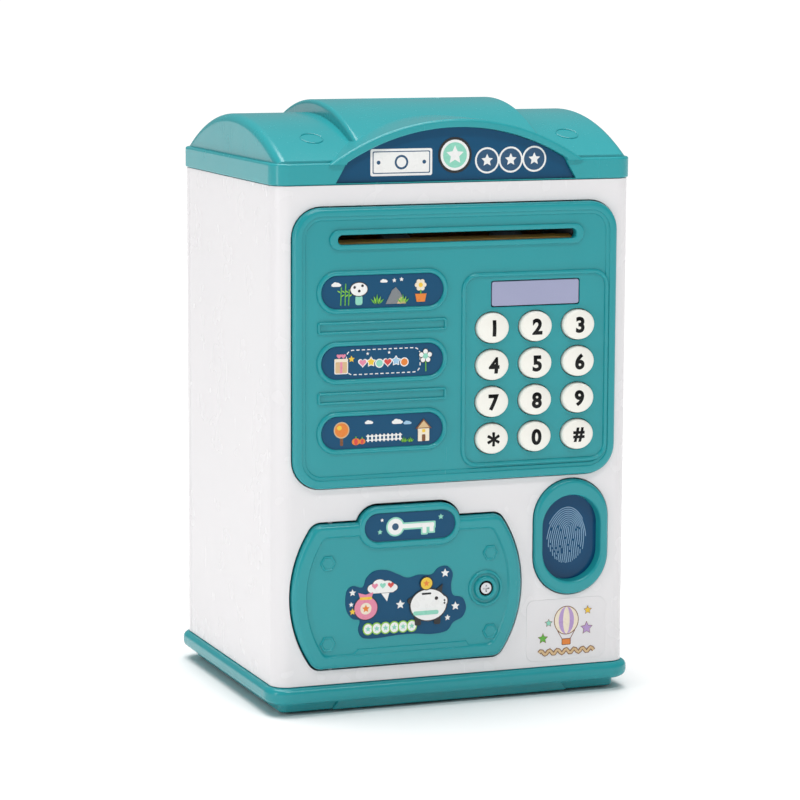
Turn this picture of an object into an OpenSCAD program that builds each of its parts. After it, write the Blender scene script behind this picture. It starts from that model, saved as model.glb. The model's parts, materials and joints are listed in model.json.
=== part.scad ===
// Toy cash machine money box: white case, teal roof and base, a front panel with a
// note slot and twelve keys, a finger window, and a safe door over the cash box.
// X runs across the front, Y runs back into the case and Z runs up from the table.

/* [Case] */
// Width of the white case
case_w = 135; // [126:1:170]
// Depth of the white case
case_d = 107; // [98:1:140]
// Height of the white case, from the base to the roof
case_h = 176; // [172:1:220]
// Radius of the case's upright corners
case_r = 6; // [4:0.5:8]
// Thickness of the case's walls
wall = 2.4; // [2:0.1:3]
// How far the rear cover wraps round the sides
cover_wrap = 8; // [6:0.5:12]

/* [Base and roof] */
// Height of the base, from the table to the case
base_h = 10.8; // [9:0.1:14]
// How far the base stands out beyond the case
base_over = 2.2; // [1:0.1:4]
// How far the feet stand out below the base
foot_proud = 0.8; // [0.5:0.1:1]
// Radius of a foot
foot_r = 6; // [4:0.5:8]
// Height of the roof's rim
rim_h = 7.8; // [6:0.1:10]
// How far the rim stands out beyond the case
rim_over = 0.5; // [0.3:0.1:1]
// Rise of the two side barrels above the rim
side_rise = 14.5; // [10:0.5:17]
// Rise of the centre barrel above the rim
centre_rise = 19.2; // [18:0.1:22]
// Radius of the centre barrel's curve
centre_r = 92; // [88:1:110]
// Width of the centre barrel
centre_w = 71; // [60:1:80]
// Thickness of the roof's skin
roof_wall = 2.2; // [1.8:0.1:2.6]
// Length of the coin slot
coin_len = 30; // [26:1:32]
// Width of the coin slot
coin_gap = 3.4; // [3:0.1:3.8]

/* [Hood and sign] */
// Radius of the hood's outer arc
hood_r = 83; // [80:1:90]
// Rise of the hood above the rim
hood_rise = 14.6; // [13:0.1:16]
// Thickness of the hood's band
hood_band = 3.1; // [2.5:0.1:4]
// How far the hood stands out beyond the case
hood_proud = 2; // [1:0.1:2.5]
// How deep the sign sits behind the hood's face
sign_deep = 2.8; // [2:0.1:3.5]

/* [Front panel] */
// White border left and right of the panel
panel_side = 6.3; // [5:0.1:10]
// White border above the panel
panel_top = 7.5; // [5:0.1:15]
// Height of the door zone below the panel
lower_h = 70.1; // [70:0.1:75]
// Radius of the panel's corners
panel_r = 10.5; // [8:0.5:12]
// How far the panel's rim stands out of the case
panel_proud = 2.5; // [2:0.1:3]
// Width of the panel's raised rim
panel_rim = 4.2; // [3:0.1:5]
// Length of the note slot
slot_w = 90; // [74:1:92]
// Height of the note slot
slot_h = 3.4; // [3:0.1:3.8]
// Distance of the note slot below the panel's top edge
slot_drop = 11.3; // [10:0.1:14]
// Height of a picture pill
pill_h = 14.5; // [12:0.1:15]
// Distance between two picture pills
pill_pitch = 24.65; // [22:0.05:26]

/* [Keypad] */
// Width of a key
key_w = 12.2; // [10:0.1:12.6]
// Height of a key
key_h = 10.7; // [8:0.1:11]
// Distance between two columns of keys
key_pitch_x = 16.55; // [15:0.05:17]
// Distance between two rows of keys
key_pitch_z = 13.2; // [12.4:0.1:13.6]
// How far a key stands out of the case
key_proud = 4.1; // [3.8:0.1:5]
// How far a key travels
key_travel = 1.2; // [0.8:0.1:1.4]
// Width of the display window
lens_w = 34.2; // [28:0.1:38]
// Height of the display window
lens_h = 9.4; // [8:0.1:10]

/* [Safe door] */
// Width of the door at its middle
door_w = 86.8; // [80:0.1:88]
// Height of the door, without its sign
door_h = 51.6; // [44:0.1:52]
// Radius of the door's bulging sides
door_arc_r = 43; // [40:0.5:60]
// Radius of the door's corners
door_corner_r = 4.5; // [3:0.5:6]
// Distance from the case's left side to the door
door_side = 6; // [5.5:0.1:8]
// Distance from the case's bottom to the door
door_rise = 5.8; // [5.5:0.1:8]
// How far the door stands out of the case
door_proud = 2.3; // [2:0.1:2.6]
// Gap round the door
door_gap = 0.8; // [0.7:0.1:1.2]
// Distance from the door's left edge to its hinge
hinge_in = 15; // [13:0.5:18]
// Radius of a hinge pin
hinge_r = 1; // [0.8:0.1:1.1]
// Width of the door's sign
sign_w = 38.6; // [30:0.1:44]
// Height of the door's sign
sign_h = 15.1; // [12:0.1:16]

/* [Finger window] */
// Width of the bezel
bezel_w = 28.9; // [26:0.1:30]
// Height of the bezel
bezel_h = 42.2; // [38:0.1:43]
// Width of the bezel's opening
window_w = 22.6; // [18:0.1:23]
// Height of the bezel's opening
window_h = 31.5; // [24:0.1:33]
// How far the bezel stands out of the case
bezel_proud = 1.8; // [1.5:0.1:2.4]

/* [Note feeder] */
// Radius of the rollers
roller_r = 6; // [5.5:0.1:6.4]
// Radius of the roller shafts
shaft_r = 1.5; // [1.2:0.1:1.8]
// Size of a gear tooth: pitch diameter over number of teeth
tooth = 1; // [0.9:0.05:1]

/* [Batteries] */
// Radius of a battery
cell_r = 7.1; // [6.8:0.1:7.2]
// Length of a battery
cell_len = 49.5; // [44:0.1:50]

/* [Hidden] */
$fn = 96;

// Clearances
fit = 0.2;        // between pieces that are fastened together
run = 0.06;       // round a shaft that turns
loose = 0.4;      // round a piece that slides or drops in
edge = 0.8;       // step that stands for a rounded edge

// Colours
white = [0.90, 0.89, 0.89];
teal = [0.22, 0.58, 0.60];
light_teal = [0.44, 0.75, 0.77];
navy = [0.12, 0.33, 0.47];
lavender = [0.70, 0.69, 0.82];
cream = [0.94, 0.93, 0.90];
steel = [0.72, 0.73, 0.75];
grey = [0.45, 0.46, 0.48];
brown = [0.29, 0.20, 0.08];
board_green = [0.10, 0.38, 0.22];
black = [0.07, 0.07, 0.08];

// Planes of the case. The overall box, keys and base included, is centred on Y = 0.
front_y = key_proud - (key_proud + case_d + base_over) / 2;
back_y = front_y + case_d;
mid_y = (front_y + back_y) / 2;
case_z = base_h;
top_z = case_z + case_h;
rim_z = top_z + rim_h;
inner_w = case_w - 2 * wall;
inner_d = case_d - 2 * wall;
inner_r = case_r - wall;
inner_back = back_y - wall;

// Panel and what lies on it
panel_w = case_w - 2 * panel_side;
panel_h = case_h - lower_h - panel_top;
panel_z = top_z - panel_top - panel_h / 2;
panel_bottom = panel_z - panel_h / 2;
floor_drop = 1;
panel_floor = front_y - panel_proud + floor_drop;
panel_skin = 2.2;
panel_back = panel_floor + panel_skin;
flange_y = front_y + wall + 0.1;
flange_t = 1.7;
flange_over = 1.4;
panel_rear = flange_y + flange_t;
slot_z = panel_z + panel_h / 2 - slot_drop;
slot_ring = 3;
pad_w = 56.5;
pad_h = 69.1;
pad_x = panel_w / 2 - pad_w / 2 - 3.2;
pad_z = panel_bottom + 4.9 + pad_h / 2;
pill_left = -panel_w / 2 + 8.75;
pill_right = pad_x - pad_w / 2 - 5.65;
pill_w = pill_right - pill_left;
pill_x = (pill_left + pill_right) / 2;
pill_z = [for (i = [0:2]) panel_bottom + 19.6 + i * pill_pitch];
bead_w = 1.2;
bead_h = 0.6;
label_t = 0.25;
lens_z = pad_z + 26.85;
lens_t = 1.6;
key_x = [for (c = [-1:1]) pad_x - 0.2 + c * key_pitch_x];
key_z = [for (r = [0:3]) pad_z - 24.65 + r * key_pitch_z];
key_gap = 0.35;
key_flange = 1.1;
key_flange_t = 1;
key_stem_r = 2.2;
key_stem = 1.5;
key_rest = panel_back + 0.2;
key_back = key_rest + key_flange_t + key_stem;
mat_top = key_back + key_travel + 0.1;
mat_t = 1;
dome_h = 0.8;
board_y = mat_top + dome_h + mat_t + 0.1;
board_t = 1.6;

// Door
door_x = -case_w / 2 + door_side + door_w / 2;
door_z = case_z + door_rise + door_h / 2;
door_front = front_y - door_proud;
door_back = front_y + 2.3;
door_floor = door_front + 0.9;
door_skin = 2.4;
sign_x = door_x + 0.3;
sign_z = door_z + door_h / 2 - 2.05;
hinge_x = door_x - door_w / 2 + hinge_in;
hinge_y = front_y + 1.7;
hinge_pin_len = 7;
lug_top = door_z + door_h / 2 + door_gap + 6;
lug_bottom = case_z + 2.2;
knuckle = 3;
knuckle_h = 5;
release_x = door_x + 29.4;
release_z = door_z - 0.7;
screw_head_r = 2;
screw_shank_r = 1.5;
bolt_w = 3;
bolt_h = 6;
bolt_y = front_y + 9;
bolt_travel = 6;
hook_y = bolt_y + bolt_w + loose;
hook_t = 2;
hook_len = door_x + door_w / 2 - 1.8 - release_x;
pocket_x = door_x + door_w / 2 + 1.7;
pocket_y = front_y + 17;
liner = 1.6;

// Finger window
bezel_x = case_w / 2 - 22.6;
bezel_z = case_z + lower_h - 1.7 - bezel_h / 2;
window_z = bezel_z - 0.5;
bezel_front = front_y - bezel_proud;
bezel_deep = 3.9;
window_y = bezel_front + bezel_deep;
window_t = 1.2;

// Cash box
cash_z = case_z + 2.2;
cash_top = case_z + lower_h - 2.2;
bridge_t = 1.6;
cell_z = case_z + 33;
cell_pitch = 2 * cell_r + 0.4;
tray_wall = 1.5;
tray_w = cell_len + 8 + 2 * tray_wall;
tray_h = 3 * cell_pitch + 1 + 2 * tray_wall;
tray_d = 2 * cell_r + 0.8 + tray_wall;
frame_t = 2;
tray_back = inner_back - frame_t;
tray_front = tray_back - tray_d;
cash_back = tray_front - 1;

// Feeder: the drive axis is above the note's path, the idler axis below it
nip = 0.3;
drive_y = front_y + 15;
drive_z = slot_z + roller_r + nip / 2;
idler_z = slot_z - roller_r - nip / 2;
roller_x = [-18, 25];
roller_w = 10;
plate_x = slot_w / 2 + 1;
plate_t = 2;
drive_teeth = 18;
small_teeth = 12;
big_teeth = 24;
pinion_teeth = 10;
gear_lean = -20;
reduction_reach = (drive_teeth + small_teeth) * tooth / 2;
reduction_y = drive_y + reduction_reach * cos(gear_lean);
reduction_z = drive_z + reduction_reach * sin(gear_lean);
motor_y = reduction_y + (big_teeth + pinion_teeth) * tooth / 2;
motor_z = reduction_z;
gear_x = plate_x + plate_t + 1.5;
gear_t = 4.5;
gear_gap = 1;
outer_gear_x = gear_x + gear_t + gear_gap;
motor_len = plate_x - coin_len / 2 - 6;
motor_r = 10;
motor_flat = 7.5;
guide_r = 9;
guide_gap = 4.5;
guide_t = 1.2;
guide_drop = 18;
guide_low = slot_z - slot_h / 2 - 0.2;
guide_y = drive_y + 5;

// Things on the rear cover
board_x = 32;
board_z = top_z - 45;
speaker_x = -33;
speaker_z = top_z - 48;
speaker_r = 20;
switch_x = 40;
switch_z = case_z + 86;
switch_travel = 4.6;
post_y = 9;
screw_in = 9;
screw_r = 1.5;
screw_head = 2.8;
screw_len = 13;
post_end = inner_back - 6.2;
boss_h = 4.5;

// ---- Outlines -------------------------------------------------------------

function arc(cx, cy, r, from, to, steps) =
  [for (i = [0:steps]) [cx + r * cos(from + (to - from) * i / steps),
                        cy + r * sin(from + (to - from) * i / steps)]];

function rounded(w, h, r, steps = 8) = concat(
  arc(w / 2 - r, h / 2 - r, r, 0, 90, steps),
  arc(r - w / 2, h / 2 - r, r, 90, 180, steps),
  arc(r - w / 2, r - h / 2, r, 180, 270, steps),
  arc(w / 2 - r, r - h / 2, r, 270, 360, steps));

module rounded_rect(w, h, r, steps = 8) polygon(rounded(w, h, r, steps));

// A pill with round ends
module pill(w, h) rounded_rect(w, h, min(w, h) / 2 - 0.02, 12);

module oval(w, h) polygon([for (i = [0:35]) [w / 2 * cos(i * 10), h / 2 * sin(i * 10)]]);

// The door's outline, grown by g: flat above and below, bulging at both sides
function door_outline(g) =
  let (r = door_arc_r + g, rc = door_corner_r + g, xc = door_w / 2 - door_arc_r,
       cz = door_h / 2 - door_corner_r,
       cx = xc + sqrt(pow(door_arc_r - door_corner_r, 2) - cz * cz),
       turn = atan2(cz, cx - xc))
  concat(arc(xc, 0, r, -turn, turn, 24),
         arc(cx, cz, rc, turn + 6, 90, 7),
         arc(-cx, cz, rc, 90, 174 - turn, 7),
         arc(-xc, 0, r, 180 - turn, 180 + turn, 24),
         arc(-cx, -cz, rc, 186 + turn, 270, 7),
         arc(cx, -cz, rc, 270, 354 - turn, 7));

module door_shape(g) {
  translate([door_x, door_z]) polygon(door_outline(g));
  translate([sign_x, sign_z]) pill(sign_w + 2 * g, sign_h + 2 * g);
}

// Draws an outline of the X-Z plane as a slab between two depths
module slab(from, to) translate([0, to, 0]) rotate([90, 0, 0]) linear_extrude(to - from) children();

// Draws an outline of the Y-Z plane as a bar between two places across the case
module bar(from, to) translate([from, 0, 0]) rotate([90, 0, 90]) linear_extrude(to - from) children();

module rod_y(x, z, r, from, to) translate([x, to, z]) rotate([90, 0, 0]) cylinder(r = r, h = to - from);

module rod_x(y, z, r, from, to) translate([from, y, z]) rotate([0, 90, 0]) cylinder(r = r, h = to - from);

module box(x0, x1, y0, y1, z0, z1) translate([x0, y0, z0]) cube([x1 - x0, y1 - y0, z1 - z0]);

// A block of the case's plan, grown by over
module plan_block(over, z0, z1, r = case_r)
  translate([0, mid_y, z0]) linear_extrude(z1 - z0)
    rounded_rect(case_w + 2 * over, case_d + 2 * over, r + max(over, -r / 2), 12);

module inner_block(z0, z1, less = 0)
  translate([0, mid_y, z0]) linear_extrude(z1 - z0)
    rounded_rect(inner_w - 2 * less, inner_d - 2 * less, inner_r, 8);

// ---- Case -----------------------------------------------------------------

module bezel_shape(g) translate([bezel_x, bezel_z]) pill(bezel_w + 2 * g, bezel_h + 2 * g);

module panel_shape(g) translate([0, panel_z]) rounded_rect(panel_w + 2 * g, panel_h + 2 * g, panel_r + g);

// Corner posts that take the rear cover's screws
function cover_screws() =
  [for (sx = [-1, 1], z = [case_z + 14, top_z - 14]) [sx * (case_w / 2 - screw_in), z]];

module front_shell() color(white) {
  split_y = back_y - cover_wrap;
  difference() {
    plan_block(0, case_z, top_z);
    inner_block(case_z - 1, top_z + 1);
    box(-case_w, case_w, split_y, back_y + 1, case_z - 1, top_z + 1);
    slab(front_y - 1, front_y + wall + 1) panel_shape(loose);
    slab(front_y - 1, front_y + wall + 1) bezel_shape(loose);
    slab(front_y - 1, front_y + wall + 1) door_shape(door_gap);
    for (s = [-1, 1]) hinge_pin(s, run);
  }
  // lugs behind the front wall that the hinge pins turn in
  difference() {
    for (z = [[door_z + door_h / 2 + door_gap, lug_top], [lug_bottom, door_z - door_h / 2 - door_gap]])
      box(hinge_x - 3.5, hinge_x + 3.5, front_y + 0.4, front_y + 5.4, z[0], z[1]);
    for (s = [-1, 1]) hinge_pin(s, run);
  }
  // posts on the side walls that take the rear cover's screws
  for (p = cover_screws()) difference() {
    side = sign(p[0]);
    union() {
      rod_y(p[0], p[1], 4, post_end - 10, post_end);
      box(min(p[0], side * (inner_w / 2 + 0.5)), max(p[0], side * (inner_w / 2 + 0.5)),
          post_end - 10, post_end, p[1] - 1.5, p[1] + 1.5);
    }
    rod_y(p[0], p[1], screw_r, post_end - 9, post_end + 1);
  }
}

module rear_cover() color(white) difference() {
  split_y = back_y - cover_wrap;
  union() {
    difference() {
      plan_block(0, case_z, top_z);
      inner_block(case_z - 1, top_z + 1);
      box(-case_w, case_w, front_y - 1, split_y + fit, case_z - 1, top_z + 1);
    }
    // thicker frame round the battery bay
    box(-tray_w / 2 - 3, tray_w / 2 + 3, tray_back, inner_back + 0.5,
        cell_z - tray_h / 2 - 3, cell_z + tray_h / 2 + 12);
    for (p = cover_screws()) rod_y(p[0], p[1], 4, inner_back - 6, inner_back + 0.5);
    for (sx = [-1, 1], sz = [-1, 1])
      rod_y(board_x + sx * 21, board_z + sz * 20, 2.5, inner_back - post_y, inner_back + 0.5);
  }
  // battery bay: a recess for its door and an opening into the tray
  slab(back_y - 1.8, back_y + 1) battery_door_shape(fit);
  slab(tray_back - 1, back_y) translate([0, cell_z])
    square([tray_w - 2 * tray_wall, tray_h - 2 * tray_wall], center = true);
  rod_y(0, cell_z + tray_h / 2 + 7, 1.2, tray_back - 1, back_y);
  for (p = cover_screws()) {
    rod_y(p[0], p[1], screw_r + 0.2, inner_back - 7, back_y);
    rod_y(p[0], p[1], screw_head + 0.3, back_y - 1.6, back_y + 1);
  }
  // grille in front of the speaker
  for (i = [-3:3]) {
    half = sqrt(pow(speaker_r - 4, 2) - pow(i * 4, 2));
    box(speaker_x - half, speaker_x + half, inner_back - 1, back_y + 1,
        speaker_z + i * 4 - 0.8, speaker_z + i * 4 + 0.8);
  }
  box(switch_x - 5, switch_x + 5, inner_back - 1, back_y + 1, switch_z - 2.2, switch_z + 2.2);
}

module battery_door_shape(g) translate([0, cell_z + 5])
  rounded_rect(tray_w + 2 + 2 * g, tray_h + 14 + 2 * g, 3);

module base_tray() color(teal) {
  shelf = 2.4;
  difference() {
    union() {
      plan_block(-3, foot_proud, 4.6);
      plan_block(base_over - edge, 4.4, base_h);
      plan_block(base_over, 5.4, base_h - 1.4);
    }
    inner_block(foot_proud + shelf, base_h + 1, 2.5);
    for (p = foot_places())
      translate([p[0], p[1], 0]) cylinder(r = foot_r + 0.05, h = 2 * foot_proud);
    for (p = base_screw_places()) {
      translate([p[0], p[1], 0]) cylinder(r = screw_r + 0.2, h = base_h);
      translate([p[0], p[1], 0]) cylinder(r = screw_head + 0.3, h = foot_proud + 1.2);
    }
  }
  // lip that locates the case
  difference() {
    inner_block(base_h - 1, base_h + 1.8, fit);
    inner_block(base_h - 2, base_h + 2, 2.5);
  }
  // posts under the cash box
  for (p = base_screw_places()) difference() {
    translate([p[0], p[1], foot_proud + shelf - 0.5]) cylinder(r = 4, h = cash_z - foot_proud - shelf + 0.5);
    translate([p[0], p[1], 0]) cylinder(r = screw_r + 0.2, h = base_h + 8);
  }
}

function foot_places() =
  [for (sx = [-1, 1], sy = [-1, 1]) [sx * (case_w / 2 - 17), mid_y + sy * (case_d / 2 - 15)]];

function base_screw_places() =
  [for (sx = [-1, 1], sy = [-1, 1]) [sx * (case_w / 2 - 32), mid_y + sy * (case_d / 2 - 26)]];

module rubber_feet() color(black) for (p = foot_places())
  translate([p[0], p[1], 0]) cylinder(r = foot_r, h = 2 * foot_proud);

// A pan-head screw with a cross recess, its head at the origin and its shank along -Z
module screw(len, r = screw_r, head = screw_head) difference() {
  union() {
    cylinder(r = head, h = 1.2);
    translate([0, 0, -len]) cylinder(r = r, h = len + 0.1);
  }
  translate([-head * 0.6, -0.4, 0.5]) cube([head * 1.2, 0.8, 2]);
  translate([-0.4, -head * 0.6, 0.5]) cube([0.8, head * 1.2, 2]);
}

module case_screws() color(steel) {
  for (p = cover_screws())
    translate([p[0], back_y - 1.6, p[1]]) rotate([-90, 0, 0]) screw(screw_len);
  for (p = base_screw_places())
    translate([p[0], p[1], foot_proud + 1.2]) rotate([180, 0, 0])
      screw(cash_z + liner + boss_h - foot_proud - 2.2);
}

// ---- Roof -----------------------------------------------------------------

side_half_d = case_d / 2 - 1;
barrel_foot = 0.8;   // upright edge at the foot of a side barrel
side_sag = side_rise - barrel_foot;
side_r = (pow(side_half_d, 2) + pow(side_sag, 2)) / (2 * side_sag);
side_half_w = case_w / 2 - 1.5;
hood_z = rim_z + hood_rise - hood_r;
hood_front = front_y - hood_proud;
sign_front = hood_front + sign_deep;
sign_t = 1;
sign_bottom = top_z + 0.8;
sign_arc_r = hood_r - hood_band - 0.4;
sign_arc_z = rim_z + hood_rise - hood_band - sign_arc_r;
sign_half = sqrt(pow(sign_arc_r, 2) - pow(rim_z - sign_arc_z, 2));

// A barrel along X, clipped to a block that starts at z0
module barrel(half_w, half_d, rise, r, less, z0) intersection() {
  rod_x(mid_y, rim_z + rise - r, r - less, -half_w + less, half_w - less, $fn = 240);
  box(-half_w + less, half_w - less, mid_y - half_d + less, mid_y + half_d - less, z0, rim_z + rise + 1);
}

// The hood: a vault along Y, clipped at z0
module vault(less, from, z0) intersection() {
  slab(from, mid_y) translate([0, hood_z]) circle(r = hood_r - less, $fn = 240);
  box(-hood_r, hood_r, from, mid_y, z0, rim_z + hood_rise + 1);
}

// The sign's outline: a low arch whose sides spread a little at the bottom
function sign_outline(g) =
  let (r = sign_arc_r + g, turn = asin(sign_half / sign_arc_r))
  concat([[-sign_half - 4 - g, sign_bottom - g], [sign_half + 4 + g, sign_bottom - g],
          [sign_half + 1.4 + g, (sign_bottom + rim_z) / 2 + 0.8]],
         arc(0, sign_arc_z, r, 90 - turn, 90 + turn, 32),
         [[-sign_half - 1.4 - g, (sign_bottom + rim_z) / 2 + 0.8]]);

module roof_cover() color(light_teal) {
  cavity_z = rim_z - roof_wall - 0.5;
  difference() {
    union() {
      plan_block(rim_over, top_z, rim_z);
      barrel(side_half_w, side_half_d, side_rise, side_r, 0, rim_z - 1);
      barrel(centre_w / 2, side_half_d, centre_rise, centre_r, 0, rim_z - 1);
      vault(0, hood_front, rim_z - 0.3);
    }
    difference() {
      union() {
        inner_block(top_z - 1, rim_z - roof_wall, 1);
        barrel(side_half_w, side_half_d, side_rise, side_r, roof_wall, cavity_z);
        barrel(centre_w / 2, side_half_d, centre_rise, centre_r, roof_wall, cavity_z);
        vault(roof_wall, sign_front + sign_t + 2, cavity_z);
      }
      // the wall that backs the sign
      slab(front_y - 1, sign_front + sign_t + 2) polygon(sign_outline(2));
    }
    slab(hood_front - 1, sign_front + sign_t) polygon(sign_outline(0.15));
    box(-coin_len / 2, coin_len / 2, mid_y - coin_gap / 2, mid_y + coin_gap / 2, rim_z, rim_z + 30);
  }
  // lip that drops into the case
  difference() {
    inner_block(top_z - 4, top_z + 1, fit);
    inner_block(top_z - 5, top_z + 2, 1.6);
    box(-slot_w, slot_w, front_y, front_y + 12, top_z - 5, top_z + 0.1);
  }
}

module sign_plate() color(navy) slab(sign_front, sign_front + sign_t) polygon(sign_outline(0));

// ---- Front panel ----------------------------------------------------------

module ring(w, h, width) difference() {
  pill(w, h);
  pill(w - 2 * width, h - 2 * width);
}

module front_panel() color(teal) {
  difference() {
    union() {
      slab(front_y - panel_proud, front_y - panel_proud + edge) panel_shape(-edge);
      slab(front_y - panel_proud + edge, panel_rear) panel_shape(0);
    intersection() {
        slab(flange_y, panel_rear) panel_shape(flange_over);
        inner_block(case_z, top_z, fit);
      }
    }
    slab(front_y - panel_proud - 1, panel_floor) translate([0, panel_z])
      rounded_rect(panel_w - 2 * panel_rim, panel_h - 2 * panel_rim, panel_r - 3.5);
    slab(panel_back, panel_rear + 1) panel_shape(-1.8);
    // note slot, display window and key holes
    slab(panel_floor - 3, panel_back + 1) translate([0, slot_z]) pill(slot_w, slot_h);
    slab(panel_floor - 3, panel_back + 1) translate([pad_x, lens_z]) rounded_rect(lens_w, lens_h, 1);
    slab(panel_floor - 3, panel_back + 1) for (x = key_x, z = key_z)
      translate([x, z]) oval(key_w + 2 * key_gap, key_h + 2 * key_gap);
  }
  // raised beads round the slot, the pills and the keypad
  slab(panel_floor - 1, panel_floor) translate([0, slot_z]) difference() {
    pill(slot_w + 2 * slot_ring, slot_h + 3.6);
    pill(slot_w, slot_h);
  }
  for (z = pill_z) slab(panel_floor - bead_h, panel_floor) translate([pill_x, z])
    ring(pill_w, pill_h, bead_w);
  for (i = [0:1]) slab(panel_floor - bead_h, panel_floor)
    translate([pill_x, (pill_z[i] + pill_z[i + 1]) / 2]) difference() {
      rounded_rect(pill_w, 4.1, 1);
      rounded_rect(pill_w - 1.6, 2.5, 0.6);
    }
  slab(panel_floor - 0.5, panel_floor) translate([pad_x, pad_z]) difference() {
    rounded_rect(pad_w, pad_h, 6);
    rounded_rect(pad_w - 2 * bead_w, pad_h - 2 * bead_w, 4.8);
  }
  // posts that the keypad's board is fastened to
  for (sx = [-1, 1], sz = [-1, 1])
    rod_y(pad_x + sx * (pad_w / 2 - 2), pad_z + sz * (pad_h / 2 - 3), 2, panel_back, board_y);
}

module panel_labels() color(navy) for (z = pill_z)
  slab(panel_floor - label_t, panel_floor) translate([pill_x, z])
    pill(pill_w - 3.8, pill_h - 3);

module display_lens() color(lavender) slab(panel_floor + 0.1, panel_floor + 0.1 + lens_t)
  translate([pad_x, lens_z]) rounded_rect(lens_w - 0.2, lens_h - 0.2, 0.9);

module display_module() color(grey)
  box(pad_x - lens_w / 2 - 1, pad_x + lens_w / 2 + 1, panel_back + 0.3, board_y,
      lens_z - lens_h / 2 - 0.3, lens_z + lens_h / 2 + 0.3);

// One key: a domed oval cap, a flange behind the panel and a stem over the mat
module key(x, z) color(cream) translate([x, 0, z]) {
  dome_r = 16;
  intersection() {
    slab(front_y - key_proud, key_rest) oval(key_w, key_h);
    translate([0, front_y - key_proud + dome_r, 0]) sphere(r = dome_r, $fn = 160);
  }
  slab(key_rest, key_rest + key_flange_t) oval(key_w + 2 * key_flange, key_h + 2 * key_flange);
  rod_y(0, 0, key_stem_r, key_rest + key_flange_t, key_back);
}

module key_1() key(key_x[0], key_z[3]);
module key_2() key(key_x[1], key_z[3]);
module key_3() key(key_x[2], key_z[3]);
module key_4() key(key_x[0], key_z[2]);
module key_5() key(key_x[1], key_z[2]);
module key_6() key(key_x[2], key_z[2]);
module key_7() key(key_x[0], key_z[1]);
module key_8() key(key_x[1], key_z[1]);
module key_9() key(key_x[2], key_z[1]);
module key_star() key(key_x[0], key_z[0]);
module key_0() key(key_x[1], key_z[0]);
module key_hash() key(key_x[2], key_z[0]);

module keypad_mat() color(grey) {
  low = key_z[0] - 8;
  high = key_z[3] + 6;
  side = key_pitch_x + 7;
  box(pad_x - side, pad_x + side, board_y - 0.1 - mat_t, board_y - 0.1, low, high);
  for (x = key_x, z = key_z) rod_y(x, z, 3, mat_top, board_y - mat_t);
}

module keypad_board() color(board_green)
  box(pad_x - pad_w / 2, pad_x + pad_w / 2, board_y, board_y + board_t,
      pad_z - pad_h / 2, pad_z + pad_h / 2);

// ---- Safe door ------------------------------------------------------------

module safe_door() color(teal) difference() {
  union() {
    difference() {
      union() {
        slab(door_front, door_front + edge) door_shape(-edge);
        slab(door_front + edge, door_back) door_shape(0);
      }
      slab(door_front - 1, door_floor) difference() {
        translate([door_x, door_z]) intersection() {
          square([door_w, door_h - 8.8], center = true);
          field_arcs();
        }
        translate([sign_x, sign_z]) pill(sign_w, sign_h);
      }
      slab(door_floor + door_skin, door_back + 1) door_shape(-1.8);
      // shallow seat for the sign's label
      slab(door_front - 1, door_front + 0.5) translate([sign_x, sign_z]) pill(sign_w - 4.4, sign_h - 5);
    }
    for (p = [[-30.2, 12.1], [31.3, 12], [-30.3, -16.8], [31.4, -16.6]])
      translate([door_x + p[0], door_floor, door_z + p[1]]) rotate([90, 0, 0]) cylinder(r = 3, h = 0.5, $fn = 6);
    rod_y(release_x, release_z, 6.3, door_floor - 0.6, door_floor + 0.5);
    rod_y(release_x, release_z, 4.15, door_floor - 1.2, door_floor + 0.5);
    rod_y(release_x, release_z, 4, door_floor + 1, door_back + 1.2);
    // knuckles that hold the hinge pins
    for (s = [-1, 1])
      box(hinge_x - knuckle, hinge_x + knuckle, front_y - 0.5, hinge_y + 2.6,
          door_z + s * (door_h / 2 - knuckle_h / 2 - 0.3) - knuckle_h / 2,
          door_z + s * (door_h / 2 - knuckle_h / 2 - 0.3) + knuckle_h / 2);
  }
  rod_y(release_x, release_z, screw_head_r + run, door_front - 3, door_floor + 1);
  rod_y(release_x, release_z, screw_shank_r + run, door_floor, door_back + 3);
  for (s = [-1, 1]) hinge_pin(s, 0);
}

// The upper or lower hinge pin, grown by g
module hinge_pin(s, g) translate([hinge_x, hinge_y, door_z + s * (door_h / 2 + 0.3)])
  cylinder(r = hinge_r + g, h = hinge_pin_len + 4 * g, center = true);

// The two arcs that bound the door's sunken field
module field_arcs() intersection_for (s = [-1, 1])
  translate([s * (door_w / 2 - door_arc_r), 0]) circle(r = door_arc_r - 5, $fn = 180);

module hinge_pins() color(steel) for (s = [-1, 1]) hinge_pin(s, 0);

module door_sign_label() color(navy) slab(door_front + 0.25, door_front + 0.5)
  translate([sign_x, sign_z]) pill(sign_w - 4.6, sign_h - 5.2);

module door_label() color(navy) slab(door_floor - label_t, door_floor)
  translate([door_x - 0.8, door_z - 3.8]) rounded_rect(46, 24.6, 9, 8);

module release_screw() color(steel) difference() {
  union() {
    rod_y(release_x, release_z, screw_head_r, door_floor - 0.9, door_floor + 0.94);
    rod_y(release_x, release_z, screw_shank_r, door_floor + 0.9, hook_y + hook_t);
  }
  box(release_x - 1.3, release_x + 1.3, door_floor - 2, door_floor - 0.2, release_z - 0.3, release_z + 0.3);
  box(release_x - 0.3, release_x + 0.3, door_floor - 2, door_floor - 0.2, release_z - 1.3, release_z + 1.3);
}

module release_hook() color(grey) difference() {
  union() {
    rod_y(release_x, release_z, 3.6, hook_y, hook_y + hook_t);
    box(release_x, release_x + hook_len, hook_y, hook_y + hook_t, release_z - 2.5, release_z + 2.5);
  }
  rod_y(release_x, release_z, screw_shank_r, hook_y - 1, hook_y + hook_t + 1);
}

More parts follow.
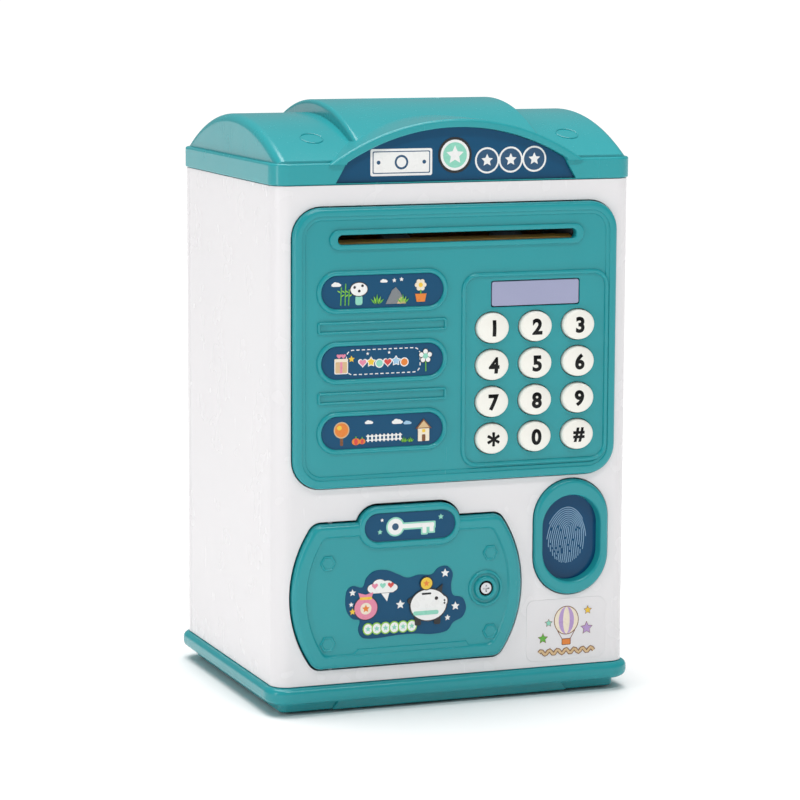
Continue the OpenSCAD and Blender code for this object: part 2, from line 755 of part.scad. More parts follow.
module latch_bolt() color(steel) {
  box(pocket_x + 0.4, pocket_x + 8, bolt_y, bolt_y + bolt_w, release_z - bolt_h / 2, release_z + bolt_h / 2);
  rod_x(bolt_y + bolt_w / 2, release_z, 1.4, pocket_x + 8, pocket_x + 25);
}

module latch_solenoid() color(grey) difference() {
  box(pocket_x + 10, pocket_x + 29, front_y + 7.6, front_y + 16.6, release_z - 7, release_z + 7);
  rod_x(bolt_y + bolt_w / 2, release_z, 1.4 + run, pocket_x + 9, pocket_x + 26);
}

// ---- Finger window --------------------------------------------------------

module sensor_bezel() color(teal) difference() {
  union() {
    slab(bezel_front, bezel_front + edge) bezel_shape(-edge);
    slab(bezel_front + edge, window_y + window_t) bezel_shape(0);
    slab(flange_y, flange_y + 1.2) intersection() {
      bezel_shape(1.8);
      translate([-case_w, 0]) square([2 * case_w, case_z + lower_h - 0.6 - 1.8]);
      translate([pocket_x + liner + 0.3, 0]) square([case_w, top_z]);
    }
  }
  slab(bezel_front - 1, window_y) translate([bezel_x, window_z]) pill(window_w, window_h);
  slab(window_y - 0.01, window_y + window_t + 1) translate([bezel_x, window_z])
    pill(window_w + 3, window_h + 3);
}

module sensor_lens() color(navy) slab(window_y, window_y + window_t)
  translate([bezel_x, window_z]) pill(window_w + 2.8, window_h + 2.8);

module sensor_board() color(board_green) {
  back = window_y + window_t + 1.2;
  box(bezel_x - 10, bezel_x + 10, back, back + 1.2, window_z - 14, window_z + 14);
  box(bezel_x - 5, bezel_x + 5, back - 1, back, window_z - 7, window_z + 7);
}

module corner_label() color(white) slab(front_y - 0.2, front_y)
  translate([case_w / 2 - 24, case_z + 13.3]) rounded_rect(31, 22.4, 3);

// ---- Note feeder ----------------------------------------------------------

// The quarter-ring between two radii that turns a note from level to straight down
module bend(cy, cz, inner, outer) intersection() {
  difference() {
    translate([cy, cz]) circle(r = outer);
    translate([cy, cz]) circle(r = inner);
  }
  translate([cy, cz]) square(outer + 1);
}

module note_guide() color(brown) {
  half = slot_w / 2 + 0.6;
  turn_z = guide_low - guide_r;
  exit_z = turn_z - guide_drop;
  difference() {
    bar(-half, half) {
      translate([panel_back + 0.2, guide_low - guide_t]) square([guide_y - panel_back - 0.2 + 0.01, guide_t]);
      bend(guide_y, turn_z, guide_r - guide_t, guide_r);
      translate([guide_y + guide_r - guide_t, exit_z]) square([guide_t, turn_z - exit_z + 0.01]);
      bend(guide_y, turn_z, guide_r + guide_gap, guide_r + guide_gap + guide_t);
      translate([guide_y + guide_r + guide_gap, exit_z]) square([guide_t, turn_z - exit_z + 0.01]);
    }
    // windows that the rollers reach through
    for (x = roller_x) box(x - roller_w / 2 - 1, x + roller_w / 2 + 1, drive_y - roller_r - 1,
                           drive_y + roller_r + 1, guide_low - 3, guide_low + roller_r);
  }
  for (s = [-1, 1]) bar(s * half - 0.6 - s * 0.6, s * half + 0.6 - s * 0.6)
    translate([guide_y + guide_r - guide_t, exit_z]) square([guide_gap + 2 * guide_t, turn_z - exit_z]);
}

module feed_frame() color(grey) {
  top = drive_z + 7;
  low = slot_z - 12;
  difference() {
    union() {
      for (s = [-1, 1]) bar(s > 0 ? plate_x : -plate_x - plate_t, s > 0 ? plate_x + plate_t : -plate_x) {
        translate([panel_rear, low]) square([34, top - low]);
        if (s > 0) translate([panel_rear + 33, motor_z - 11]) square([motor_y + 11 - panel_rear - 33, 22]);
      }
      box(-plate_x - 0.1, plate_x + 0.1, panel_rear + 22, panel_rear + 34, top - 2, top);
      for (s = [-1, 1]) box(s * (plate_x + 1) - (s < 0 ? 6 : 0), s * (plate_x + 1) + (s > 0 ? 6 : 0),
                            panel_rear, panel_rear + 1.6, low, low + 7);
    }
    rod_x(drive_y, drive_z, shaft_r + run, -plate_x - 5, plate_x + 5);
    rod_x(drive_y, idler_z, shaft_r + run, -plate_x - 5, plate_x + 5);
    rod_x(reduction_y, reduction_z, shaft_r, plate_x - 1, plate_x + 5);
    rod_x(motor_y, motor_z, 3.2, plate_x - 1, plate_x + 5);
  }
}

module drive_shaft() color(steel)
  rod_x(drive_y, drive_z, shaft_r, -plate_x - plate_t - 2, outer_gear_x - 0.5);

module idler_shaft() color(steel)
  rod_x(drive_y, idler_z, shaft_r, -plate_x - plate_t - 2, plate_x + plate_t + 1);

module rollers(z) for (x = roller_x) difference() {
  rod_x(drive_y, z, roller_r, x - roller_w / 2, x + roller_w / 2);
  rod_x(drive_y, z, shaft_r, x - roller_w, x + roller_w);
}

module drive_rollers() color(grey) rollers(drive_z);
module idler_rollers() color(grey) rollers(idler_z);

// Outline of a spur gear with straight-sided teeth, one of them centred on angle "at"
function gear_outline(teeth, at) =
  let (r = teeth * tooth / 2, play = 0.28, thick = 180 / PI * (PI * tooth / 2 - play) / 2 / r,
       tip = 180 / PI * 0.33 * tooth / (r + 0.85 * tooth), root_r = r - 1.15 * tooth,
       root = 180 / PI * (PI * tooth / 2 - play + 0.3) / 2 / root_r)
  [for (i = [0:teeth - 1]) for (p = [[root_r, -root], [r, -thick], [r + 0.85 * tooth, -tip],
                                     [r + 0.85 * tooth, tip], [r, thick], [root_r, root]])
     [p[0] * cos(at + i * 360 / teeth + p[1]), p[0] * sin(at + i * 360 / teeth + p[1])]];

module gear(y, z, x, thickness, teeth, at) bar(x, x + thickness)
  translate([y, z]) polygon(gear_outline(teeth, at));

module drive_gear() color(cream) difference() {
  union() {
    gear(drive_y, drive_z, gear_x, gear_t, drive_teeth, gear_lean);
    rod_x(drive_y, drive_z, 3, gear_x - 1, gear_x + 1);
  }
  rod_x(drive_y, drive_z, shaft_r, gear_x - 3, gear_x + gear_t + 3);
}

module reduction_gear() color(cream) difference() {
  union() {
    gear(reduction_y, reduction_z, gear_x, gear_t + 0.1, small_teeth,
         gear_lean + 180 + 180 / small_teeth);
    gear(reduction_y, reduction_z, outer_gear_x - 0.9, gear_t - 0.6, big_teeth, 0);
  }
  rod_x(reduction_y, reduction_z, shaft_r + run, gear_x - 1, outer_gear_x + gear_t + 1);
}

module reduction_axle() color(steel)
  rod_x(reduction_y, reduction_z, shaft_r, plate_x, outer_gear_x + gear_t);

module motor_pinion() color(steel) {
  gear(motor_y, motor_z, outer_gear_x - 0.9, gear_t - 0.6, pinion_teeth, 180 + 180 / pinion_teeth);
  rod_x(motor_y, motor_z, 1, plate_x - 12, outer_gear_x);
}

module feed_motor() color(grey) difference() {
  union() {
    intersection() {
      rod_x(motor_y, motor_z, motor_r, plate_x - motor_len, plate_x);
      box(0, case_w, motor_y - motor_r, motor_y + motor_r, motor_z - motor_flat, motor_z + motor_flat);
    }
    rod_x(motor_y, motor_z, 3, plate_x - 1, plate_x + 1.5);
    rod_x(motor_y, motor_z, 3, plate_x - motor_len - 1.5, plate_x - motor_len + 1);
  }
  rod_x(motor_y, motor_z, 1 + run, plate_x - 13, plate_x + 3);
}

// ---- Inside the case ------------------------------------------------------

// The cash box: open above and towards the door, with a pocket cut off for the latch
module cash_box() color(white) {
  half = inner_w / 2 - fit;
  front = front_y + wall + fit;
  difference() {
    union() {
      intersection() {
        inner_block(cash_z, cash_top, fit);
        cash_walls(half, front);
      }
      for (p = base_screw_places()) translate([p[0], p[1], cash_z]) cylinder(r = 3.5, h = liner + boss_h);
    }
    for (p = base_screw_places())
      translate([p[0], p[1], cash_z - 1]) cylinder(r = screw_r, h = liner + boss_h);
  }
  // bridge under the coin chute
  difference() {
    box(-half, half, mid_y - 7, mid_y + 7, cash_top - bridge_t, cash_top);
    box(-coin_len / 2 - 1, coin_len / 2 + 1, mid_y - coin_gap / 2, mid_y + coin_gap / 2,
        cash_top - bridge_t - 1, cash_top + 1);
  }
}

module cash_walls(half, front) difference() {
    union() {
      difference() {
        box(-half, half, front, cash_back, cash_z, cash_top);
        box(-half + liner, half - liner, front - 1, cash_back - liner, cash_z + liner, cash_top + 1);
      }
      box(pocket_x, half, pocket_y, pocket_y + liner, cash_z, cash_top);
      box(pocket_x, pocket_x + liner, front, pocket_y + liner, cash_z, cash_top);
    }
    box(pocket_x + liner, half + 1, front - 1, pocket_y, cash_z - 1, cash_top + 1);
    // room for the hinge lugs, and a hole for the bolt
    box(hinge_x - 4, hinge_x + 4, front - 1, front_y + 6, cash_z - 1, cash_z + liner + 1);
    box(pocket_x - 1, pocket_x + liner + 1, bolt_y - 0.4, bolt_y + bolt_w + 0.4,
        release_z - bolt_h / 2 - 0.4, release_z + bolt_h / 2 + 0.4);
}

module coin_chute() color(white) {
  side = 1.2;
  high = rim_z + centre_rise - roof_wall - 0.5;
  difference() {
    union() {
      box(-coin_len / 2 - 1 - side, coin_len / 2 + 1 + side, mid_y - coin_gap / 2 - side,
          mid_y + coin_gap / 2 + side, cash_top, high);
      box(-coin_len / 2 - 5, coin_len / 2 + 5, mid_y - 6, mid_y + 6, cash_top, cash_top + 1.6);
    }
    box(-coin_len / 2 - 1, coin_len / 2 + 1, mid_y - coin_gap / 2, mid_y + coin_gap / 2,
        cash_top - 1, high + 1);
  }
}

module main_board() color(board_green) {
  y = inner_back - post_y - board_t;
  box(board_x - 25, board_x + 25, y, y + board_t, board_z - 24, board_z + 24);
  box(board_x - 8, board_x + 6, y - 2, y, board_z - 6, board_z + 8);
  box(board_x + 10, board_x + 22, y - 5, y, board_z - 18, board_z - 12);
  for (i = [0:2]) rod_y(board_x - 16 + i * 9, board_z - 15, 3, y - 8, y);
}

module speaker() color(black) {
  rod_y(speaker_x, speaker_z, speaker_r, inner_back - 4, inner_back - fit);
  rod_y(speaker_x, speaker_z, speaker_r * 0.6, inner_back - 11, inner_back - 4);
}

module battery_box() color(black) difference() {
  box(-tray_w / 2, tray_w / 2, tray_front, tray_back, cell_z - tray_h / 2, cell_z + tray_h / 2);
  box(-tray_w / 2 + tray_wall, tray_w / 2 - tray_wall, tray_front + tray_wall, tray_back + 1,
      cell_z - tray_h / 2 + tray_wall, cell_z + tray_h / 2 - tray_wall);
}

cell_y = tray_front + tray_wall + 0.2 + cell_r;

module batteries() color(navy) for (i = [-1:1]) {
  turn = i == 0 ? -1 : 1;
  rod_x(cell_y, cell_z + i * cell_pitch, cell_r, -cell_len / 2, cell_len / 2 - 1);
  rod_x(cell_y, cell_z + i * cell_pitch, 2.6, turn > 0 ? cell_len / 2 - 1.1 : -cell_len / 2 - 1,
        turn > 0 ? cell_len / 2 : -cell_len / 2 + 0.1);
}

module battery_contacts() color(steel) for (i = [-1:1]) {
  wall_x = tray_w / 2 - tray_wall - 0.1;
  z = cell_z + i * cell_pitch;
  for (s = [-1, 1]) {
    box(s > 0 ? wall_x - 0.5 : -wall_x, s > 0 ? wall_x : -wall_x + 0.5, cell_y - 4, cell_y + 4, z - 4, z + 4);
    translate([s * (wall_x - 0.5), cell_y, z]) rotate([0, -90 * s, 0]) cylinder(r1 = 3.4, r2 = 2, h = 1.6);
  }
}

module battery_door() color(white) difference() {
  slab(back_y - 1.7, back_y - 0.1) battery_door_shape(0);
  rod_y(0, cell_z + tray_h / 2 + 7, 1.4, back_y - 3, back_y);
  rod_y(0, cell_z + tray_h / 2 + 7, 2.7, back_y - 1.3, back_y + 1);
  for (i = [-2:2]) box(-10, 10, back_y - 0.6, back_y + 1, cell_z - 12 + i * 3, cell_z - 10.8 + i * 3);
}

module battery_door_screw() color(steel) translate([0, back_y - 1.3, cell_z + tray_h / 2 + 7])
  rotate([-90, 0, 0]) screw(5, 1.2, 2.6);

module power_switch() color(steel) difference() {
  box(switch_x - 7, switch_x + 7, inner_back - 7, inner_back, switch_z - 4.5, switch_z + 4.5);
  box(switch_x - 5.4, switch_x + 5.4, inner_back - 4, inner_back + 1, switch_z - 2.2, switch_z + 2.2);
}

module switch_slider() color(black) {
  x = switch_x - switch_travel / 2;
  box(x - 2, x + 2, inner_back - 3.6, back_y + 1, switch_z - 1.8, switch_z + 1.8);
}

// ---- Drawing --------------------------------------------------------------

front_shell();
rear_cover();
base_tray();
rubber_feet();
roof_cover();
sign_plate();
front_panel();
panel_labels();
display_lens();
display_module();
keypad_mat();
keypad_board();
key_1();
key_2();
key_3();
key_4();
key_5();
key_6();
key_7();
key_8();
key_9();
key_star();
key_0();
key_hash();
safe_door();
hinge_pins();
door_sign_label();
door_label();
release_screw();
release_hook();
latch_bolt();
latch_solenoid();
sensor_bezel();
sensor_lens();
sensor_board();
corner_label();
note_guide();
feed_frame();
drive_shaft();
drive_rollers();
drive_gear();
idler_shaft();
idler_rollers();
feed_motor();
motor_pinion();
reduction_gear();
reduction_axle();
main_board();
cash_box();
coin_chute();
speaker();
battery_box();
batteries();
battery_contacts();
battery_door();
battery_door_screw();
power_switch();
switch_slider();
case_screws();
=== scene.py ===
# %% [markdown]
# # A toy cash machine savings bank
# The real toy is a white moulded box with a teal roof, base, keypad panel and safe door. Its
# mechanical parts were drawn in CAD and packed as a frame, and this lesson dresses that frame:
# it lights it, gives every part its plastic, metal or printed film, and models again, with soft
# moulded edges, the parts that the eye rests on. All sizes below are in millimetres, and one
# constant turns them into Blender's metres.

import json
import math
import random

import bmesh
import bpy
from mathutils import Matrix, Quaternion, Vector

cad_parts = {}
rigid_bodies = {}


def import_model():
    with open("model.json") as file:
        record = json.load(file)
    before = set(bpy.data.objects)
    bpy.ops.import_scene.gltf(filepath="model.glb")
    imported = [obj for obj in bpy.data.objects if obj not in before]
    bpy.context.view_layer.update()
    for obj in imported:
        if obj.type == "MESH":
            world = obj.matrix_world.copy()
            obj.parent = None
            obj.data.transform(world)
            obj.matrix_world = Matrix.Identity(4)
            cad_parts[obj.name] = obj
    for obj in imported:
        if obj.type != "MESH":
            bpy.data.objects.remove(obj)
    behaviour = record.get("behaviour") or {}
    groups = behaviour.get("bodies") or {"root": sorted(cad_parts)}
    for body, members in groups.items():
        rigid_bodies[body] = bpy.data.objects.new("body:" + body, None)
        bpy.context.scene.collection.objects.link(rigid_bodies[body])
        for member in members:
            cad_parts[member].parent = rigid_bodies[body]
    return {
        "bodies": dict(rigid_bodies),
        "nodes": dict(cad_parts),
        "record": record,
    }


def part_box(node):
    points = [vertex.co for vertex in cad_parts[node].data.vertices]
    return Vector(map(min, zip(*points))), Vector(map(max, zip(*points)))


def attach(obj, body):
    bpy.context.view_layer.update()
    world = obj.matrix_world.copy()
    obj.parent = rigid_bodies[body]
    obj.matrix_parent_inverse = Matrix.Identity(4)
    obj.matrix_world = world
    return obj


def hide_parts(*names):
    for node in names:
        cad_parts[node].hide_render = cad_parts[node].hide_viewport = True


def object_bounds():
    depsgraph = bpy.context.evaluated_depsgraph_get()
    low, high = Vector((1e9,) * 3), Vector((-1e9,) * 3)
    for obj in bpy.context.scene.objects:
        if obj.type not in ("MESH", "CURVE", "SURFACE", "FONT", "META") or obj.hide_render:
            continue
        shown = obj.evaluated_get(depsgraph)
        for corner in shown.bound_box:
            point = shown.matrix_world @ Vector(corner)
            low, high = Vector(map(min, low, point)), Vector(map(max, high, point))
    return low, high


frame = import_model()
cad_low, cad_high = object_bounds()
MM = 0.001
record = frame["record"]
print("nodes", len(frame["nodes"]), "bodies", len(frame["bodies"]))


def mm(x, y, z):
    """A point given in millimetres, as Blender wants it."""
    return Vector((x, y, z)) * MM


def box_mm(node):
    """The lowest and highest corner of a CAD node, in millimetres."""
    low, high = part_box(node)
    return low / MM, high / MM


# %% [markdown]
# ## Camera
# The toy is seen from its left and slightly from above, through a long lens, which keeps its
# upright edges nearly parallel. The camera could be aimed with a constraint, but a place and
# three angles say the same thing in a way that can be read back.

# %% Camera
bpy.context.scene.view_settings.view_transform = "Standard"
bpy.context.scene.view_settings.look = "None"
CAMERA_PLACE = mm(-412.3, -1076.55, 268.45)
CAMERA_YAW, CAMERA_PITCH, CAMERA_ROLL = (math.radians(a) for a in (20.91, -8.18, -0.24))
camera = bpy.data.objects.new("camera", bpy.data.cameras.new("camera"))
camera.data.lens = 141.9
camera.data.sensor_width = 36.0
camera.data.clip_start, camera.data.clip_end = 0.05, 60.0
aim = Vector((
    math.sin(CAMERA_YAW) * math.cos(CAMERA_PITCH),
    math.cos(CAMERA_YAW) * math.cos(CAMERA_PITCH),
    math.sin(CAMERA_PITCH),
))
camera.rotation_mode = "QUATERNION"
camera.location = CAMERA_PLACE
camera.rotation_quaternion = aim.to_track_quat("-Z", "Y") @ Quaternion((0, 0, 1), -CAMERA_ROLL)
bpy.context.scene.collection.objects.link(camera)
bpy.context.scene.camera = camera
print("camera looks along", [round(a, 3) for a in aim])

# %% [markdown]
# ## Light
# Studio pictures of toys are taken in a white room, and the room does most of the work. A white
# world stands for its walls and a very wide sun for its bright ceiling, which lights the roof and
# turns the whole floor white, so that the floor in turn lights the sides. Two narrow strips draw
# the thin bright lines along every soft edge, which is what makes smooth plastic look like
# plastic.

# %% Lamps and world
world = bpy.data.worlds.new("white_room")
bpy.context.scene.world = world
world.use_nodes = True
room = world.node_tree.nodes["Background"]
room.inputs["Color"].default_value = (1.0, 1.0, 1.0, 1.0)
ROOM_LIGHT, ROOM_SEEN = 0.30, 1.0
ray = world.node_tree.nodes.new("ShaderNodeLightPath")
room_level = world.node_tree.nodes.new("ShaderNodeMapRange")
room_level.inputs["To Min"].default_value = ROOM_LIGHT
room_level.inputs["To Max"].default_value = ROOM_SEEN
world.node_tree.links.new(ray.outputs["Is Camera Ray"], room_level.inputs["Value"])
world.node_tree.links.new(room_level.outputs["Result"], room.inputs["Strength"])


def soft_box(name, place, target, size, energy):
    """A rectangular lamp at place that faces target."""
    lamp = bpy.data.objects.new(name, bpy.data.lights.new(name, "AREA"))
    lamp.data.shape = "RECTANGLE"
    lamp.data.size, lamp.data.size_y = size
    lamp.data.energy = energy
    lamp.location = place
    lamp.rotation_mode = "QUATERNION"
    lamp.rotation_quaternion = (target - place).to_track_quat("-Z", "Y")
    bpy.context.scene.collection.objects.link(lamp)
    return lamp


middle = (cad_low + cad_high) / 2
lamps = [
    soft_box("edge_strip", Vector((0.1, -0.9, 1.3)), middle, (0.9, 0.10), 6.0),
    soft_box("side_strip", Vector((-1.3, -0.5, 0.4)), middle, (0.10, 0.9), 3.2),
]
ceiling = bpy.data.objects.new("ceiling_light", bpy.data.lights.new("ceiling_light", "SUN"))
ceiling.data.energy = 2.6
ceiling.data.angle = math.radians(45)
ceiling.rotation_mode = "QUATERNION"
ceiling.rotation_quaternion = Vector((0.05, -0.15, -1.0)).to_track_quat("-Z", "Y")
bpy.context.scene.collection.objects.link(ceiling)
lamps.append(ceiling)
print("lamps", [lamp.name for lamp in lamps])

# %% [markdown]
# ## Floor
# The toy stands on a plain pale sweep.

# %% Floor
floor_mesh = bmesh.new()
bmesh.ops.create_grid(floor_mesh, x_segments=1, y_segments=1, size=25.0)
floor_data = bpy.data.meshes.new("floor")
floor_mesh.to_mesh(floor_data)
floor_mesh.free()
floor = bpy.data.objects.new("floor", floor_data)
bpy.context.scene.collection.objects.link(floor)
print("floor", floor.name)

# %% [markdown]
# ## Writing shaders as sums
# A material is a network of nodes, and most of its nodes do plain arithmetic. The class below
# wraps one socket, so that an expression such as `grain * 0.3 + 0.2` adds the Math nodes itself.
# Any other node comes from `Finish.node`, which takes the node's type, its settings and the
# values or links of its sockets.

# %% Sockets that can be added and multiplied
class Wire:
    """One output socket of a material, with arithmetic."""

    def __init__(self, finish, socket):
        self.finish = finish
        self.socket = socket

    def math(self, operation, *others):
        """A Math node fed with this socket and the others, in order."""
        values = dict(enumerate((self, *others)))
        return self.finish.node("ShaderNodeMath", {"operation": operation}, values)["Value"]

    def __add__(self, other):
        return self.math("ADD", other)

    def __mul__(self, other):
        return self.math("MULTIPLY", other)

    def __sub__(self, other):
        return self.math("SUBTRACT", other)

    def above(self, level):
        return self.math("GREATER_THAN", level)

    def clamp(self):
        return self.math("MINIMUM", 1.0).math("MAXIMUM", 0.0)


class Outputs:
    """The output sockets of one node, by name or by number."""

    def __init__(self, finish, node):
        self.finish = finish
        self.outputs = node.outputs

    def __getitem__(self, name):
        return Wire(self.finish, self.outputs[name])


MIX_SHARE, MIX_FIRST, MIX_SECOND, MIX_RESULT = 0, 6, 7, 2


class Finish:
    """A material on the object's own coordinates, built from nodes."""

    def __init__(self, name):
        self.material = bpy.data.materials.new(name)
        self.material.use_nodes = True
        self.tree = self.material.node_tree
        self.shader = self.tree.nodes["Principled BSDF"]
        self.place = self.node("ShaderNodeTexCoord")["Object"]

    def node(self, kind, settings=None, sockets=None):
        """Adds a node: its type, then its settings, then its sockets."""
        made = self.tree.nodes.new(kind)
        for name, value in (settings or {}).items():
            setattr(made, name, value)
        for name, value in (sockets or {}).items():
            self.feed(made.inputs[name], value)
        return Outputs(self, made)

    def feed(self, socket, value):
        """Links a wire to a socket, or gives the socket a fixed value."""
        if isinstance(value, Wire):
            self.tree.links.new(value.socket, socket)
        else:
            socket.default_value = value

    def set(self, **values):
        """Sets or links sockets of the shader: base_color, roughness, metallic and so on."""
        for name, value in values.items():
            self.feed(self.shader.inputs[name.replace("_", " ").title()], value)

    def noise(self, size, detail=3.0, where=None, roughness=0.55):
        """Noise whose patches are about size millimetres across."""
        sockets = {"Vector": where or self.place, "Scale": 1.0 / (size * MM), "Detail": detail}
        return self.node("ShaderNodeTexNoise", None, {**sockets, "Roughness": roughness})["Fac"]

    def stretched(self, x, y, z):
        """The object's coordinates, squeezed by these factors."""
        sockets = {"Vector": self.place, "Scale": (x, y, z)}
        return self.node("ShaderNodeMapping", None, sockets)["Vector"]

    def mix(self, share, first, second, blend="MIX"):
        """A colour between two colours. A Mix node's colour sockets are told apart by number."""
        settings = {"data_type": "RGBA", "blend_type": blend}
        sockets = {MIX_SHARE: share, MIX_FIRST: first, MIX_SECOND: second}
        return self.node("ShaderNodeMix", settings, sockets)[MIX_RESULT]

    def bump(self, height, strength, depth):
        """A bump whose full height is depth millimetres."""
        sockets = {"Height": height, "Strength": strength, "Distance": depth * MM}
        self.set(normal=self.node("ShaderNodeBump", None, sockets)["Normal"])


def colour(code):
    """A colour written as six hexadecimal digits, as the linear light that Blender wants."""
    values = [int(code[i:i + 2], 16) / 255 for i in (0, 2, 4)]
    linear = [v / 12.92 if v <= 0.04045 else ((v + 0.055) / 1.055) ** 2.4 for v in values]
    return (*linear, 1.0)


print("white in linear light", [round(v, 3) for v in colour("E6E4E4")])

# %% [markdown]
# ## Moulded plastic
# Most of the toy is ABS, moulded in steel tools. Such a surface is never one flat value: the
# colour drifts slightly where the melt cooled, the gloss varies with handling, a faint orange
# peel bends the reflections, and hair-fine rub marks show under a low light. One recipe makes
# all the plastics, and each gets its own colours and gloss.

# %% Plastics
PLASTIC_IOR = 1.46


def moulded(name, light, dark, gloss, peel=0.35, rubs=0.12):
    """Injection-moulded plastic: two shades, a mean roughness, orange peel and rub marks."""
    finish = Finish(name)
    drift = finish.noise(38.0, 2.0)
    speckle = finish.noise(1.1, 1.0)
    rub = finish.noise(1.2, 2.0, finish.stretched(1.0, 1.0, 0.06))
    rub_marks = ((rub - 0.62) * 9.0).clamp() * finish.noise(22.0, 1.0)
    shade = (drift * 0.8 + speckle * 0.2).clamp()
    finish.set(base_color=finish.mix(shade, colour(dark), colour(light)))
    finish.set(roughness=(finish.noise(9.0, 1.0) - 0.5) * 0.10 + rub_marks * rubs + gloss)
    finish.bump(finish.noise(2.4, 1.0) * 0.9 + speckle * 0.1, peel, 0.03)
    finish.shader.inputs["IOR"].default_value = PLASTIC_IOR
    return finish.material


white_plastic = moulded("white_abs", "EAE8E9", "E5E3E5", 0.26, 0.06, 0.02)
teal_plastic = moulded("teal_abs", "239BA1", "1C9098", 0.22, 0.25, 0.06)
# The roof's teal is a lighter copy of the case's teal: painted light for the bright top light on the roof.
lit_roof_teal = moulded("teal_abs_roof_lightened", "2DA1A7", "24979E", 0.25, 0.3, 0.06)
key_plastic = moulded("key_ivory", "F6F5EE", "EFEDE3", 0.30, peel=0.15)
grey_plastic = moulded("grey_abs", "7C7F84", "6F7277", 0.42)
black_plastic = moulded("black_abs", "1B1B1D", "131315", 0.38)
dark_sleeve = moulded("dark_sleeve", "161616", "0B0B0C", 0.3)
# The amber is painted lighter than the plastic, as painted light for the dim space behind the slot.
brown_plastic = moulded("amber_abs_brightened", "E0A44E", "C48A38", 0.35)
gear_nylon = moulded("natural_nylon", "E7E2CF", "DCD6C0", 0.48, peel=0.5)
print("plastics", [m.name for m in bpy.data.materials if "abs" in m.name])

# %% [markdown]
# ## Film, ink and window
# The pictures are printed on glossy polyester film. The film has a clear coat, the printed
# colours are slightly mottled, and each shape of ink carries its own colour as an attribute of
# its mesh, so one ink material serves every picture.

# %% Films and inks
FILM_IOR, FILM_COAT, COAT_ROUGHNESS = 1.28, 0.06, 0.10
GRAIN_GREY = (0.55, 0.55, 0.55, 1.0)


def film(name, light, dark, gloss=0.22):
    """Printed film: a mottled colour under a clear coat with a slight waviness."""
    finish = Finish(name)
    mottle = finish.noise(0.22, 3.0) * 0.6 + finish.noise(14.0, 2.0) * 0.4
    finish.set(base_color=finish.mix(mottle, colour(dark), colour(light)))
    finish.set(roughness=(finish.noise(6.0, 2.0) - 0.5) * 0.08 + gloss)
    finish.bump(finish.noise(5.0, 2.0), 0.25, 0.03)
    finish.shader.inputs["IOR"].default_value = FILM_IOR
    finish.shader.inputs["Coat Weight"].default_value = FILM_COAT
    finish.shader.inputs["Coat Roughness"].default_value = COAT_ROUGHNESS
    return finish.material


def printed_ink():
    """Ink that reads its colour from the mesh, with the grain of a printed screen."""
    finish = Finish("printed_ink")
    stored = finish.node("ShaderNodeVertexColor", {"layer_name": "ink"})["Color"]
    grain = finish.noise(0.12, 2.0) * 0.22
    finish.set(base_color=finish.mix(grain, stored, GRAIN_GREY, "MULTIPLY"))
    finish.set(roughness=finish.noise(3.0, 2.0) * 0.12 + 0.22)
    finish.bump(finish.noise(0.3, 2.0), 0.15, 0.01)
    return finish.material


navy_film = film("navy_film", "0C5075", "08476B")
pale_film = film("pale_film", "EBE9EA", "E2E0E2", 0.3)
lavender_window = film("lavender_window", "A8ABC8", "9C9FBD", 0.2)
finger_film = film("finger_film", "0B4F78", "063B60", 0.16)
ink = printed_ink()
print("films", [m.name for m in (navy_film, pale_film, lavender_window, finger_film)])

# %% [markdown]
# ## Metal, rubber, circuit board and cells
# Turned steel keeps fine tool marks across its axis, so its roughness comes from noise that is
# stretched one way. Rubber is dull and dusty. A circuit board shows copper tracks beneath its
# green lacquer, and the cells carry a printed wrap with a band near one end.

# %% Metals and the rest
CELL_BAND = 0.010


def steel(name, light, dark, gloss):
    """Turned steel, with tool marks across its axis."""
    finish = Finish(name)
    marks = finish.noise(0.5, 3.0, finish.stretched(0.05, 1.0, 1.0))
    spots = finish.noise(4.0, 3.0)
    finish.set(base_color=finish.mix(spots, colour(dark), colour(light)))
    finish.set(roughness=marks * 0.22 + spots * 0.08 + gloss)
    finish.bump(marks, 0.25, 0.02)
    finish.shader.inputs["Metallic"].default_value = 1.0
    return finish.material


def rubber(name, light, dark):
    """Dull rubber with dust in patches."""
    finish = Finish(name)
    dust = ((finish.noise(5.0, 4.0) - 0.5) * 3.0).clamp()
    finish.set(base_color=finish.mix(dust, colour(dark), colour(light)))
    finish.set(roughness=dust * 0.12 + 0.68)
    finish.bump(finish.noise(0.5, 4.0), 0.5, 0.05)
    return finish.material


def lacquered_board():
    """A circuit board: copper tracks that show through green lacquer."""
    finish = Finish("green_board")
    ripple = finish.noise(6.0, 1.0)
    wave = finish.node(
        "ShaderNodeTexWave",
        {"bands_direction": "DIAGONAL"},
        {"Vector": finish.place, "Scale": 90.0, "Distortion": 9.0, "Detail": 1.0},
    )["Fac"]
    track = ((wave - 0.62) * 8.0).clamp()
    finish.set(base_color=finish.mix(track, colour("0F5A34"), colour("2C8A4C")))
    finish.set(roughness=ripple * 0.1 + 0.28)
    finish.bump(track, 0.4, 0.05)
    return finish.material


def cell_wrap():
    """The printed wrap of a cell, with its metallic band beyond CELL_BAND metres."""
    finish = Finish("cell_wrap")
    split = finish.node("ShaderNodeSeparateXYZ", None, {"Vector": finish.place})
    band = split["X"].above(CELL_BAND)
    scuff = finish.noise(1.5, 4.0)
    finish.set(base_color=finish.mix(band, colour("23262B"), colour("C79A3C")))
    finish.set(metallic=band * 0.6)
    finish.set(roughness=scuff * 0.2 + 0.25)
    finish.bump(scuff, 0.2, 0.02)
    return finish.material


bright_steel = steel("bright_steel", "D9DADC", "BFC1C4", 0.16)
motor_steel = steel("motor_steel", "A9ACB0", "8F9296", 0.28)
rubber_black = rubber("rubber_black", "3A3A3A", "1A1A1B")
silicone = rubber("silicone_grey", "A9ABB0", "8D9096")
board_green = lacquered_board()
battery_wrap = cell_wrap()


